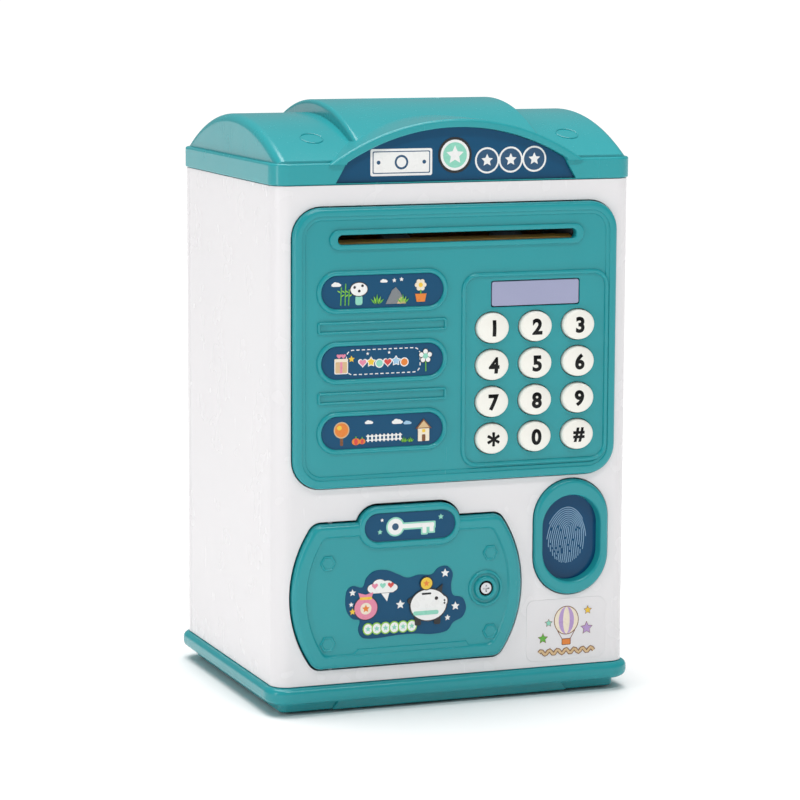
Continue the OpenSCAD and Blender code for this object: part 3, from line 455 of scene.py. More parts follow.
def pale_floor():
    """The pale studio floor, which mirrors nothing."""
    finish = Finish("pale_floor")
    cloudy = finish.noise(400.0, 2.0)
    finish.set(base_color=finish.mix(cloudy, colour("F8F8F8"), colour("FDFDFD")))
    finish.set(roughness=cloudy * 0.1 + 0.6)
    finish.bump(finish.noise(3.0, 2.0), 0.05, 0.05)
    finish.shader.inputs["IOR"].default_value = 1.0
    return finish.material


floor.data.materials.append(pale_floor())
print("materials", len(bpy.data.materials))

# %% [markdown]
# ## Dress the CAD parts
# The record names a material slot for every CAD part. Each slot gets its finish, and the parts
# that are modelled again below are hidden later, one by one.

# %% Finishes for the record's slots
FINISHES = {
    "white_plastic": white_plastic,
    "teal_plastic": teal_plastic,
    "printed_label": navy_film,
    "clear_label": pale_film,
    "lavender_window": lavender_window,
    "finger_window": finger_film,
    "key_plastic": key_plastic,
    "silicone_rubber": silicone,
    "circuit_board": board_green,
    "grey_plastic": grey_plastic,
    "brown_plastic": brown_plastic,
    "gear_nylon": gear_nylon,
    "bright_steel": bright_steel,
    "motor_steel": motor_steel,
    "black_plastic": black_plastic,
    "battery_wrap": battery_wrap,
}
slot_of = {part["node"]: part["material_slot"] for part in record["subparts"]}
for name, node in frame["nodes"].items():
    finish = FINISHES[slot_of[name]]
    if name == "rubber_feet":
        finish = rubber_black
    if name == "hinge_pins":
        finish = motor_steel
    node.data.materials.clear()
    node.data.materials.append(finish)
print("dressed", len(frame["nodes"]), "parts")

# %% [markdown]
# ## Outlines that can grow
# Nearly every moulded part here is an outline pushed in and out while it grows and shrinks: a
# rim, a bead, a key, a recess. So an outline is written as a function of how far it is grown.
# It always gives the same number of points, which lets one ring be joined to the next.

# %% Outlines
def arc(cx, cy, radius, start, end, steps):
    """Points on a circle from one angle to another, in degrees."""
    turns = [math.radians(start + (end - start) * i / steps) for i in range(steps + 1)]
    return [(cx + radius * math.cos(t), cy + radius * math.sin(t)) for t in turns]


def soft_shape(corners, softness, steps=6):
    """A convex polygon with round corners, as a function of how far it is grown."""
    count = len(corners)

    def outline(grow=0.0):
        radius = max(softness + grow, 0.06)
        points = []
        for i in range(count):
            before, here, after = (Vector(corners[(i + k) % count]) for k in (-1, 0, 1))
            one, two = (here - before).normalized(), (after - here).normalized()
            n1, n2 = Vector((one.y, -one.x)), Vector((two.y, -two.x))
            centre = here + (n1 + n2) * (grow - radius) / (1 + n1.dot(n2))
            start = math.degrees(math.atan2(n1.y, n1.x))
            sweep = math.degrees(n1.angle(n2))
            points += arc(centre.x, centre.y, radius, start, start + sweep, steps)
        return points

    return outline


def soft_box_shape(cx, cy, wide, high, softness, steps=6):
    """A rectangle with round corners."""
    x, y = wide / 2, high / 2
    corners = [(cx - x, cy - y), (cx + x, cy - y), (cx + x, cy + y), (cx - x, cy + y)]
    return soft_shape(corners, softness, steps)


def pill_shape(cx, cy, wide, high, steps=12):
    """A box whose short sides are round."""
    return soft_box_shape(cx, cy, wide, high, min(wide, high) / 2 - 0.05, steps)


def oval_shape(cx, cy, wide, high, steps=40):
    """An ellipse."""

    def outline(grow=0.0):
        turns = [2 * math.pi * i / steps for i in range(steps)]
        x, y = wide / 2 + grow, high / 2 + grow
        return [(cx + x * math.cos(t), cy + y * math.sin(t)) for t in turns]

    return outline


def bulged_shape(cx, cy, half_w, half_h, arc_r, corner, steps=20):
    """Flat above and below, and bulging at both sides."""
    off = half_w - arc_r
    drop = half_h - corner
    reach = off + math.sqrt((arc_r - corner) ** 2 - drop ** 2)
    lean = math.degrees(math.atan2(drop, reach - off))

    def outline(grow=0.0):
        big, small = arc_r + grow, corner + grow
        rows = [
            arc(off, 0, big, -lean, lean, steps),
            arc(reach, drop, small, lean + 8, 90, 6),
            arc(-reach, drop, small, 90, 172 - lean, 6),
            arc(-off, 0, big, 180 - lean, 180 + lean, steps),
            arc(-reach, -drop, small, 188 + lean, 270, 6),
            arc(reach, -drop, small, 270, 352 - lean, 6),
        ]
        return [(cx + x, cy + y) for row in rows for x, y in row]

    return outline


print("a pill has", len(pill_shape(0, 0, 10, 4)()), "points")

# %% [markdown]
# ## Rings, walls and fills
# A part starts as one ring of edges. Extruding the ring's edges and moving the new ring to the
# next grown outline draws the wall, a fillet or a bead. Flat regions with holes are closed by
# filling between rings. The same three helpers make the panel, the door, the keys, the base and
# the rest, and only the path of growth and depth changes.

# %% Rings
def facing(points, depth):
    """Points of an outline in a plane that faces the front, at one depth."""
    return [mm(x, depth, z) for x, z in points]


def lying(points, height):
    """Points of an outline in a level plane, at one height."""
    return [mm(x, y, height) for x, y in points]


def across(points, side):
    """Points of an outline in the plane that faces sideways."""
    return [mm(side, y, z) for y, z in points]


def start_ring(shape, places):
    """A closed ring of new points."""
    ring = [shape.verts.new(place) for place in places]
    for one, two in zip(ring, ring[1:] + ring[:1]):
        shape.edges.new((one, two))
    return ring


def edges_of(ring):
    """The edges that join a ring's points in turn."""
    pairs = zip(ring, ring[1:] + ring[:1])
    return [next(e for e in one.link_edges if e.other_vert(one) is two) for one, two in pairs]


def pull_ring(shape, ring, places):
    """Extrudes a ring's edges and moves the new ring to its places."""
    made = bmesh.ops.extrude_edge_only(shape, edges=edges_of(ring))["geom"]
    fresh = {v for v in made if isinstance(v, bmesh.types.BMVert)}
    pulled = []
    for old, place in zip(ring, places):
        new = next(e.other_vert(old) for e in old.link_edges if e.other_vert(old) in fresh)
        new.co = place
        pulled.append(new)
    return pulled


def draw_wall(shape, outline, path, lay=facing, ring=None):
    """Pulls an outline along a path of (growth, depth). Gives the first and the last ring."""
    if ring is None:
        ring = start_ring(shape, lay(outline(path[0][0]), path[0][1]))
        path = path[1:]
    first = ring
    for grow, depth in path:
        ring = pull_ring(shape, ring, lay(outline(grow), depth))
    return first, ring


def fill(shape, *rings):
    """Closes the flat region between an outer ring and the rings inside it."""
    edges = [edge for ring in rings for edge in edges_of(ring)]
    bmesh.ops.triangle_fill(shape, use_beauty=True, edges=edges)


def turn(grow, depth, radius, start, end, steps=4):
    """A rounded corner of a path, as a part of a circle in growth and depth."""
    return arc(grow, depth, radius, start, end, steps)


print("a quarter turn has", len(turn(0, 0, 1, 0, 90)), "points")

# %% [markdown]
# ## From shape to piece
# Every shape ends the same way: doubles merged, normals outwards, smooth shading with the sharp
# edges kept, its finish, and a CAD body to ride on. One helper does it, so no piece misses a step.

# %% Finished pieces
SMOOTH_BELOW = math.radians(32)


def settle(shape):
    """Merges doubles and turns every face outwards."""
    bmesh.ops.remove_doubles(shape, verts=shape.verts, dist=0.002 * MM)
    bmesh.ops.recalc_face_normals(shape, faces=shape.faces)
    return shape


def add_solid(shape, outline, path, lay=facing):
    """Draws a wall in a shape and closes both of its ends."""
    for end in draw_wall(shape, outline, path, lay):
        fill(shape, end)


def solid(outline, path, lay=facing):
    """A closed block on its own, ready to be joined or to cut with."""
    shape = bmesh.new()
    add_solid(shape, outline, path, lay)
    return settle(shape)


def make_piece(name, shape, body, finishes, replaced=(), even=True, soft=SMOOTH_BELOW):
    """Turns a shape into an object that rides on a CAD body. Edges over soft stay sharp."""
    data = bpy.data.meshes.new(name)
    shape.to_mesh(data)
    shape.free()
    data.shade_smooth()
    data.set_sharp_from_angle(angle=soft)
    for finish in finishes:
        data.materials.append(finish)
    piece = bpy.data.objects.new(name, data)
    bpy.context.scene.collection.objects.link(piece)
    if even:
        weights = piece.modifiers.new("even_light", "WEIGHTED_NORMAL")
        weights.keep_sharp = True
    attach(piece, body)
    if replaced:
        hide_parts(*replaced)
    print(name, "faces", len(data.polygons))
    return piece


# %% [markdown]
# ## Joining and cutting
# Where two blocks meet along a curve that neither outline follows, a boolean finds the line. The
# blocks are put in as objects, the modifier is applied at once, and what comes back is a shape
# like any other.

# %% Booleans
def as_object(name, shape):
    """Puts a shape into the scene as a working object."""
    data = bpy.data.meshes.new(name)
    shape.to_mesh(data)
    shape.free()
    holder = bpy.data.objects.new(name, data)
    bpy.context.scene.collection.objects.link(holder)
    return holder


def combine(base, tools, operation):
    """Joins the tools to a shape, or cuts them from it. Gives a new shape."""
    holder = as_object("work", base)
    helpers = [as_object("tool", tool) for tool in tools]
    for helper in helpers:
        modifier = holder.modifiers.new("cut", "BOOLEAN")
        modifier.operation = operation
        modifier.solver = "EXACT"
        modifier.object = helper
    bpy.context.view_layer.update()
    evaluated = holder.evaluated_get(bpy.context.evaluated_depsgraph_get())
    result = bmesh.new()
    result.from_mesh(evaluated.to_mesh())
    evaluated.to_mesh_clear()
    for used in [holder, *helpers]:
        bpy.data.objects.remove(used)
    print(operation.lower(), "gives", len(result.faces), "faces")
    return result


# %% [markdown]
# ## Keypad panel
# The panel is one moulding: a soft raised rim, a floor one millimetre below it, and beads around
# the slot, the three picture pills, the two bars and the keypad. It could be sculpted from a
# plate with booleans, but lofted rings keep every bead an even half round, and the holes for the
# window and the keys come from the same fill that makes the floor.

# %% Places of the panel
def middle_of(node):
    """The middle of a node in the plane that faces the front."""
    low, high = box_mm(node)
    return (low.x + high.x) / 2, (low.z + high.z) / 2


shell_low, shell_high = box_mm("front_shell")
FRONT = round(shell_low.y, 3)
TOP = shell_high.z
PANEL_X, PANEL_Z = (round(place, 3) for place in middle_of("front_panel"))
PANEL_W, PANEL_H, PANEL_R = 122.4, 98.4, 10.5
RIM_FRONT = FRONT - 2.5
RIM_W = 4.4
LEDGE = 3.1
FLOOR = FRONT - 1.5
PANEL_BACK = FRONT + 0.7
SLOT_Z = 168.0
SLOT_W, SLOT_H = 96, 7
PAD_X, PAD_Z = round(middle_of("keypad_mat")[0], 3), 120.35
PAD_W, PAD_H = 56.7, 69.3
PILL_W, PILL_H = 48.9, 15.1
BAR_W, BAR_H = 48.3, 4.5
FILM_H = 11.5
WINDOW_HOLE_W, WINDOW_HOLE_H = 34.2, 9.4
KEY_HOLE_W, KEY_HOLE_H = 12.9, 11.4
labels_low, labels_high = box_mm("panel_labels")
PILL_X = (labels_low.x + labels_high.x) / 2
PILL_PITCH = (labels_high.z - labels_low.z - FILM_H) / 2
PILL_Z = [labels_low.z + FILM_H / 2 + PILL_PITCH * i for i in range(3)]
KEY_NAMES = ["1", "2", "3", "4", "5", "6", "7", "8", "9", "star", "0", "hash"]
lens_low, lens_high = box_mm("display_lens")
LENS = middle_of("display_lens")
print("pills at", round(PILL_X, 2), [round(z, 2) for z in PILL_Z])

# %% [markdown]
# The rim is drawn from the back forwards and ends on the floor. Each bead and hole then leaves one
# ring on the floor, and a single fill between all of them makes a floor with the right openings.

# %% The panel's rim, floor and beads
def bead(shape, outline, width, high, floor_depth):
    """A half-round ridge that stands on a floor. Gives its outer and inner ring."""
    path = arc(-width / 2, floor_depth, 1.0, 0, 180, 8)
    path = [((g + width / 2) * width / 2 - width / 2, floor_depth - (d - floor_depth) * high)
            for g, d in path]
    return draw_wall(shape, outline, path)


def hole(shape, outline, front_depth, back_depth, ease=0.25):
    """A hole through a plate, with an eased mouth. Gives its front and back ring."""
    path = turn(ease, front_depth + ease, ease, -90, -180, 3)
    return draw_wall(shape, outline, path + [(0.0, back_depth)])


panel = bmesh.new()
rim_path = (
    [(0.0, PANEL_BACK)]
    + turn(-1.7, RIM_FRONT + 1.7, 1.7, 0, -90, 8)
    + turn(-LEDGE + 0.35, RIM_FRONT + 0.35, 0.35, -90, -170, 3)
    + [(-LEDGE - 0.06, RIM_FRONT + 0.5)]
    + turn(-RIM_W + 0.3, RIM_FRONT + 0.85, 0.3, -90, -170, 3)
    + [(-RIM_W - 0.12, FLOOR)]
)
panel_outline = soft_box_shape(PANEL_X, PANEL_Z, PANEL_W, PANEL_H, PANEL_R, 10)
panel_rear, panel_floor = draw_wall(panel, panel_outline, rim_path)


def slot_outline(grow=0.0):
    """The slot, which widens faster than it heightens."""
    return pill_shape(PANEL_X, SLOT_Z, SLOT_W + 2 * grow, SLOT_H + 1.2 * grow)()


slot_path = (
    [(0.0, FLOOR)]
    + turn(-0.55, FLOOR - 0.45, 0.55, 0, -90, 4)
    + turn(-2.4, FLOOR - 0.4, 0.6, -90, -180, 4)
    + [(-3.0, PANEL_BACK)]
)
slot_foot, slot_rear = draw_wall(panel, slot_outline, slot_path)
floor_holes, rear_holes = [slot_foot], [slot_rear]
for z in PILL_Z:
    outer, inner = bead(panel, pill_shape(PILL_X, z, PILL_W, PILL_H), 1.8, 1.05, FLOOR)
    floor_holes.append(outer)
    fill(panel, inner)
for i in range(2):
    z = (PILL_Z[i] + PILL_Z[i + 1]) / 2
    bar = soft_box_shape(PILL_X, z, BAR_W, BAR_H, 1.1, 5)
    outer, inner = bead(panel, bar, 1.1, 0.95, FLOOR)
    floor_holes.append(outer)
    fill(panel, inner)
pad = soft_box_shape(PAD_X, PAD_Z, PAD_W, PAD_H, 6.0, 8)
pad_outer, pad_inner = bead(panel, pad, 1.6, 1.0, FLOOR)
floor_holes.append(pad_outer)
pad_holes = []
window_front, window_rear = hole(
    panel, soft_box_shape(*LENS, WINDOW_HOLE_W, WINDOW_HOLE_H, 0.9, 4), FLOOR, PANEL_BACK
)
pad_holes.append(window_front)
rear_holes.append(window_rear)
for name in KEY_NAMES:
    opening = oval_shape(*middle_of("key_" + name), KEY_HOLE_W, KEY_HOLE_H)
    front, rear = hole(panel, opening, FLOOR, PANEL_BACK)
    pad_holes.append(front)
    rear_holes.append(rear)
fill(panel, panel_floor, *floor_holes)
fill(panel, pad_inner, *pad_holes)
fill(panel, panel_rear, *rear_holes)
make_piece("keypad_panel", settle(panel), "case", [teal_plastic], ["front_panel"])

# %% [markdown]
# Just behind the slot the note meets the amber lip of its guide. The lip slopes back and up, so
# that it shows through the slot as a warm line. Its section is drawn once and pulled sideways.

# %% Lip of the note guide
lip = bmesh.new()
LIP_HALF = 44.6
lip_section = [(PANEL_BACK + 0.3, SLOT_Z - 1.85), (PANEL_BACK + 3.4, SLOT_Z - 1.85),
               (PANEL_BACK + 3.4, SLOT_Z - 0.55), (PANEL_BACK + 0.3, SLOT_Z - 1.25)]
lip_left = start_ring(lip, across(lip_section, -LIP_HALF))
lip_right = pull_ring(lip, lip_left, across(lip_section, LIP_HALF))
fill(lip, lip_left)
fill(lip, lip_right)
# The lip's amber is painted lighter than the plastic, so that it reads lit through the slot.
make_piece("slot_lip", settle(lip), "case", [brown_plastic], even=False)

# %% [markdown]
# ## Keys
# A key is an ivory cap with an oval outline, a soft shoulder and a slightly domed face. The
# rings run up the wall, round the shoulder and then over the dome, where each point's depth
# comes from the dome's radius.

# %% Key caps
KEY_FRONT = box_mm("key_1")[0].y
KEY_BACK = box_mm("key_1")[1].y
KEY_W, KEY_H = 12.2, 10.7
DOME_R = 16.0
SHOULDER = 0.9


def dome_depth(x, z):
    """How far behind the key's foremost point its face lies."""
    return DOME_R - math.sqrt(DOME_R ** 2 - x * x - z * z)


def dome_ring(cx, cz, wide, high, grow, shoulder, angle):
    """A ring round the key's shoulder or over its dome."""
    places = []
    edge = oval_shape(0, 0, wide, high)(grow)
    rest = oval_shape(0, 0, wide, high)(min(grow, -shoulder))
    for (x, z), (ex, ez) in zip(edge, rest):
        depth = KEY_FRONT + dome_depth(ex, ez) + shoulder * (1 - math.sin(angle))
        places.append(mm(cx + x, depth, cz + z))
    return places


def key_cap(name):
    """One cap with its foot and its stem, riding on its own key body."""
    cx, cz = middle_of("key_" + name)
    cap = bmesh.new()
    oval = oval_shape(cx, cz, KEY_W, KEY_H)
    ring = start_ring(cap, facing(oval(1.1), PANEL_BACK + 1.2))
    foot = ring
    ring = pull_ring(cap, ring, facing(oval(1.1), PANEL_BACK + 0.2))
    ring = pull_ring(cap, ring, facing(oval(0.0), PANEL_BACK + 0.2))
    for i in range(7):
        angle = math.pi / 2 * i / 6
        grow = -SHOULDER * (1 - math.cos(angle))
        ring = pull_ring(cap, ring, dome_ring(cx, cz, KEY_W, KEY_H, grow, SHOULDER, angle))
    for grow in (-1.8, -2.8, -3.8, -4.6, -5.1):
        ring = pull_ring(cap, ring, dome_ring(cx, cz, KEY_W, KEY_H, grow, SHOULDER, math.pi / 2))
    fill(cap, ring)
    stem = pull_ring(cap, foot, facing(oval_shape(cx, cz, 4.4, 4.4)(), PANEL_BACK + 1.2))
    stem = pull_ring(cap, stem, facing(oval_shape(cx, cz, 4.4, 4.4)(), KEY_BACK))
    fill(cap, stem)
    node = "key_" + name
    body = node + "_body"
    return make_piece("cap_" + name, settle(cap), body, [key_plastic], [node])


caps = [key_cap(name) for name in KEY_NAMES]
print("key caps", len(caps))

# %% [markdown]
# ## Digits
# The digits are printed on the caps. A text object is the quickest way to a clean numeral. It is
# thickened, made a mesh, cut into a fine grid so that it can bend, and then laid on the dome a
# few hundredths of a millimetre thick.

# %% Printed digits
DIGIT_HIGH = 5.8
SIGN_HIGH = 5.2
PRINT_T = 0.05


def text_shape(letter, high, weight):
    """The outline of a numeral as a flat filled mesh, high millimetres tall, centred."""
    curve = bpy.data.curves.new("numeral", "FONT")
    curve.body = letter
    curve.size = 1.0
    curve.offset = weight
    curve.resolution_u = 5
    holder = bpy.data.objects.new("numeral", curve)
    bpy.context.scene.collection.objects.link(holder)
    bpy.context.view_layer.update()
    flat = bpy.data.meshes.new_from_object(holder)
    shape = bmesh.new()
    shape.from_mesh(flat)
    bpy.data.objects.remove(holder)
    bpy.data.curves.remove(curve)
    bpy.data.meshes.remove(flat)
    bmesh.ops.remove_doubles(shape, verts=shape.verts, dist=0.0005)
    xs = [v.co.x for v in shape.verts]
    ys = [v.co.y for v in shape.verts]
    scale = high / (max(ys) - min(ys))
    cx, cy = (max(xs) + min(xs)) / 2, (max(ys) + min(ys)) / 2
    for vert in shape.verts:
        vert.co = Vector(((vert.co.x - cx) * scale, (vert.co.y - cy) * scale, 0.0))
    return shape


def cut_grid(shape, reach, pitch):
    """Cuts a flat shape into strips both ways, so that it can follow a curved face."""
    steps = int(2 * reach / pitch)
    for axis in (Vector((1, 0, 0)), Vector((0, 1, 0))):
        for i in range(steps + 1):
            geometry = shape.verts[:] + shape.edges[:] + shape.faces[:]
            spot = axis * (-reach + i * pitch)
            bmesh.ops.bisect_plane(shape, geom=geometry, plane_co=spot, plane_no=axis, dist=1e-5)


def star_sign(high):
    """A bold star sign with six arms."""
    half, arm = 0.085 * high, high / 2
    points = []
    for i in range(6):
        lean = Matrix.Rotation(math.radians(60 * i), 2)
        corners = (
            (half, half * 1.73), (half * 1.25, arm * 0.94), (0.0, arm), (-half * 1.25, arm * 0.94)
        )
        points += [tuple(lean @ Vector(corner)) for corner in corners]
    shape = bmesh.new()
    ring = start_ring(shape, [Vector((x, y, 0.0)) for x, y in points])
    fill(shape, ring)
    return shape


def printed_digit(name, letter, high, weight=0.042):
    """A numeral laid on the dome of its key."""
    cx, cz = middle_of("key_" + name)
    shape = star_sign(high) if letter == "*" else text_shape(letter, high, weight)
    cut_grid(shape, 3.6, 0.8)
    top = bmesh.ops.extrude_face_region(shape, geom=shape.faces[:])["geom"]
    raised = {v for v in top if isinstance(v, bmesh.types.BMVert)}
    for vert in shape.verts:
        x, z = vert.co.x, vert.co.y
        out = PRINT_T if vert in raised else -PRINT_T
        vert.co = mm(cx + x, KEY_FRONT + dome_depth(x, z) - out, cz + z)
    body = "key_" + name + "_body"
    return make_piece("digit_" + name, settle(shape), body, [black_print], even=False)


black_print = film("black_print", "090909", "030303", 0.3)
for name in KEY_NAMES:
    letter = {"star": "*", "hash": "#"}.get(name, name)
    high = {"star": SIGN_HIGH, "hash": SIGN_HIGH}.get(name, DIGIT_HIGH)
    printed_digit(name, letter, high)

# %% [markdown]
# ## Display window
# The display sits behind a tinted window with a thin shadow gap around it. It could be part of the
# panel, but as a plate of its own it keeps its own colour and a clean edge.

# %% Display window
window = bmesh.new()
window_outline = soft_box_shape(*LENS, 33.5, 8.7, 0.8, 4)
window_path = [(0.0, lens_high.y)] + turn(-0.25, lens_low.y + 0.25, 0.25, 0, -90, 3)
add_solid(window, window_outline, window_path)
make_piece(
    "display_window", settle(window), "case", [lavender_window], ["display_lens"]
)

# %% [markdown]
# ## Safe door
# The door bulges at both sides and carries a raised oval sign. Its face is a border around a
# shallow field, with four hexagon studs, a boss for the screw and a low step along the bottom.

# %% Door plate
DOOR_X, DOOR_Z = round(middle_of("safe_door")[0], 3), 42.4
DOOR_FRONT = FRONT - 2.3
DOOR_BACK = FRONT + 2.3
FIELD = DOOR_FRONT + 0.9
SIGN_X, SIGN_Z = middle_of("door_sign_label")
SCREW_X, SCREW_Z = 11.3, 41.7
door = bmesh.new()
door_outline = bulged_shape(DOOR_X, DOOR_Z, 43.5, 25.9, 43.0, 4.5)
field_outline = bulged_shape(DOOR_X, DOOR_Z, 38.4, 21.4, 38.0, 3.0)
door_path = [(0.0, DOOR_BACK)] + turn(-2.0, DOOR_FRONT + 2.0, 2.0, 0, -90, 8)
door_rear, door_face = draw_wall(door, door_outline, door_path)
field_path = turn(0.5, DOOR_FRONT + 0.5, 0.5, -90, -150, 3)
field_path += [(-0.35, FIELD - 0.12), (-0.75, FIELD)]
field_edge, field_floor = draw_wall(door, field_outline, field_path)
screw_mouth, screw_rear = draw_wall(
    door, oval_shape(SCREW_X, SCREW_Z, 4.12, 4.12, 32), [(0.0, FIELD), (0.0, DOOR_BACK)]
)
fill(door, door_face, field_edge)
fill(door, field_floor, screw_mouth)
fill(door, door_rear, screw_rear)

# %% [markdown]
# The sign's frame crosses the door's upper edge, so neither outline follows the line where they
# meet. A boolean joins a solid pill to the plate, and another cuts the seat of the film.

# %% Sign frame, joined to the plate
SIGN_PROUD = 0.35


def sign_block():
    """The raised oval frame of the door's sign, as a solid pill."""
    path = [(-0.1, DOOR_BACK - 0.4)] + turn(-1.1, DOOR_FRONT - SIGN_PROUD + 1.1, 1.1, 0, -90, 6)
    return solid(pill_shape(SIGN_X, SIGN_Z, 38.6, 15.1, 14), path)


def sign_seat():
    """The seat of the sign's film, with a flared mouth."""
    face = DOOR_FRONT - SIGN_PROUD
    path = [(0.0, DOOR_FRONT + 0.5), (0.05, face + 0.3), (0.2, face + 0.08), (0.5, face - 0.05)]
    return solid(pill_shape(SIGN_X, SIGN_Z, 34.2, 10.3, 14), path + [(0.6, face - 2)])


door = combine(settle(door), [sign_block()], "UNION")
door = combine(door, [sign_seat()], "DIFFERENCE")

# %% [markdown]
# Four hexagon studs and a low step decorate the field. Each is a small closed block whose foot is
# sunk below the field, which needs no cut in the plate.

# %% Studs and step on the field
def hexagon(cx, cz, radius):
    """A hexagon with slightly round corners."""
    points = arc(cx, cz, radius, 0, 300, 5)
    return soft_shape(points, 0.35, 3)


for dx, dz in ((-30.2, 12.1), (31.3, 12.0), (-30.3, -16.8), (31.4, -16.6)):
    add_solid(
        door,
        hexagon(DOOR_X + dx, DOOR_Z + dz, 3.1),
        [(0.1, FIELD + 0.4), (0.0, FIELD), (-0.15, FIELD - 0.42), (-0.4, FIELD - 0.55),
         (-0.65, FIELD - 0.42), (-0.85, FIELD - 0.15)],
    )
step_outline = soft_shape(
    [(DOOR_X - 22.2, 20.4), (DOOR_X + 24.0, 20.4), (DOOR_X + 22.1, 23.1), (DOOR_X - 19.0, 23.1)], 0.5, 3
)
step_path = [(0.05, FIELD + 0.4), (0.0, FIELD), (-0.2, FIELD - 0.28), (-0.5, FIELD - 0.36)]
add_solid(door, step_outline, step_path)
print("door faces so far", len(door.faces))

# %% [markdown]
# The boss and the dark sleeve round the screw are turned shapes, so each is a closed profile spun
# once round the screw's axis.

# %% Screw boss
def lathe(shape, profile, cx, cz, steps=48):
    """Spins a closed profile of (radius, depth) about an axis that runs front to back."""
    points = [shape.verts.new(mm(cx + r, d, cz)) for r, d in profile]
    edges = [shape.edges.new(pair) for pair in zip(points, points[1:] + points[:1])]
    bmesh.ops.spin(
        shape, geom=points + edges, cent=mm(cx, 0, cz), axis=(0, 1, 0),
        angle=2 * math.pi, steps=steps, use_merge=True,
    )


boss_profile = (
    [(2.75, FIELD + 0.4), (6.5, FIELD + 0.4), (6.5, FIELD)]
    + arc(5.95, FIELD - 0.3, 0.55, 0, -180, 6)
    + [(5.3, FIELD - 0.1), (4.5, FIELD - 0.1)]
    + arc(3.65, FIELD - 0.75, 0.6, 0, -90, 4)
    + arc(3.15, FIELD - 0.95, 0.4, -90, -180, 3)
)
lathe(door, boss_profile, SCREW_X, SCREW_Z)
sleeve = bmesh.new()
sleeve_profile = [
    (2.06, FIELD + 0.3), (2.9, FIELD + 0.3), (2.9, FIELD - 0.35), (2.5, FIELD - 0.45),
    (2.06, FIELD - 0.2),
]
make_piece("door_plate", settle(door), "door", [teal_plastic], ["safe_door"])
lathe(sleeve, sleeve_profile, SCREW_X, SCREW_Z)
make_piece("screw_sleeve", settle(sleeve), "door", [dark_sleeve])

# %% [markdown]
# ## Finger window
# A broad soft ring frames a deep oval well, and a printed fingertip lies on its floor. The ring is
# drawn as two walls, one outside and one down the well, joined by fills in front and behind.

# %% Bezel
BEZEL_X, WELL_Z = (round(place, 3) for place in middle_of("sensor_lens"))
BEZEL_Z = 58.1
BEZEL_W, BEZEL_H = 28.9, 42.2
WELL_W, WELL_H = 22.6, 31.5
BEZEL_FRONT = FRONT - 1.8
WELL_FLOOR = FRONT + 2.1
bezel = bmesh.new()
bezel_path = [(0.0, WELL_FLOOR + 1.2)] + turn(-1.5, BEZEL_FRONT + 1.5, 1.5, 0, -90, 6)
bezel_rear, bezel_face = draw_wall(bezel, pill_shape(BEZEL_X, BEZEL_Z, BEZEL_W, BEZEL_H, 16), bezel_path)
well_path = turn(1.0, BEZEL_FRONT + 1.0, 1.0, -90, -165, 5)
well_path += [(-0.25, WELL_FLOOR), (-0.25, WELL_FLOOR + 1.2)]
well_mouth, well_rear = draw_wall(bezel, pill_shape(BEZEL_X, WELL_Z, WELL_W, WELL_H, 16), well_path)
fill(bezel, bezel_face, well_mouth)
fill(bezel, bezel_rear, well_rear)
make_piece("finger_bezel", settle(bezel), "case", [teal_plastic], ["sensor_bezel"])

# %% [markdown]
# ## Roof
# The roof is a shallow rim under three crossing vaults: a long barrel across the case, a higher
# one in its middle and a hood that runs forward over the sign. Each is a closed block with soft
# gable edges. A boolean joins them, smaller copies of the rim and the two barrels hollow the roof,
# and one cutter each opens the sign's recess and the coin slot.

# %% Roof blocks
MID_Y = round((shell_low.y + box_mm("rear_cover")[1].y) / 2, 3)
CASE_W, CASE_D, CASE_R = 135.0, 107.0, 6.0
RIM_Z = TOP + 7.8
SIDE_RISE, CENTRE_RISE, HOOD_RISE = 14.5, 19.2, 14.6
SIDE_R, CENTRE_R, HOOD_R = 107.44, 92.0, 83.0
HALF_D = 52.5


def barrel_outline(rise, radius, less=0.0, bottom=RIM_Z - 1.0, steps=40):
    """The end of a barrel, seen from the side: an arch on a flat foot."""
    centre = RIM_Z + rise - radius

    def outline(grow=0.0):
        r, half = radius - less + grow, HALF_D - less + grow
        lean = math.degrees(math.asin(min(half / r, 0.999)))
        top = arc(MID_Y, centre, r, 90 - lean, 90 + lean, steps)
        top = [(y, max(z, bottom + 0.2)) for y, z in top]
        return [(MID_Y - half, bottom), (MID_Y + half, bottom)] + top

    return outline


def barrel_block(half_w, rise, radius, ease, less=0.0, bottom=RIM_Z - 1.0):
    """A barrel along the case, with eased gable edges."""
    reach = half_w - less
    right = turn(-ease, reach - ease, ease, 90, 0, 9) if ease else [(0.0, reach)]
    path = [(g, -x) for g, x in right] + right[::-1]
    return solid(barrel_outline(rise, radius, less, bottom), path, across)


def hood_outline(radius, bottom=RIM_Z - 0.6, steps=40):
    """The hood seen from the front: an arch on a flat foot."""
    centre = RIM_Z + HOOD_RISE - HOOD_R

    def outline(grow=0.0):
        r = radius + grow
        lean = math.degrees(math.acos((bottom - centre) / r))
        return arc(0.0, centre, r, 90 - lean, 90 + lean, steps)

    return outline


def hood_block(front, radius, ease, bottom=RIM_Z - 0.6):
    """A vault along the depth of the case, from the hood's face back to the middle."""
    path = [(0.0, MID_Y)] + turn(-ease, front + ease, ease, 0, -90, 9)
    return solid(hood_outline(radius, bottom), path)


def rim_block(over, low, high, ease):
    """The level rim of the roof."""
    outline = soft_box_shape(0.0, MID_Y, CASE_W, CASE_D, CASE_R, 12)
    seam = [(-0.7, low), (-0.7, low + 0.35), (over - 0.2, low + 0.4), (over, low + 0.65)]
    path = seam if ease else [(over, low)]
    path += turn(over - ease, high - ease, ease, 0, 90, 9) if ease else [(over, high)]
    return solid(outline, path, lying)


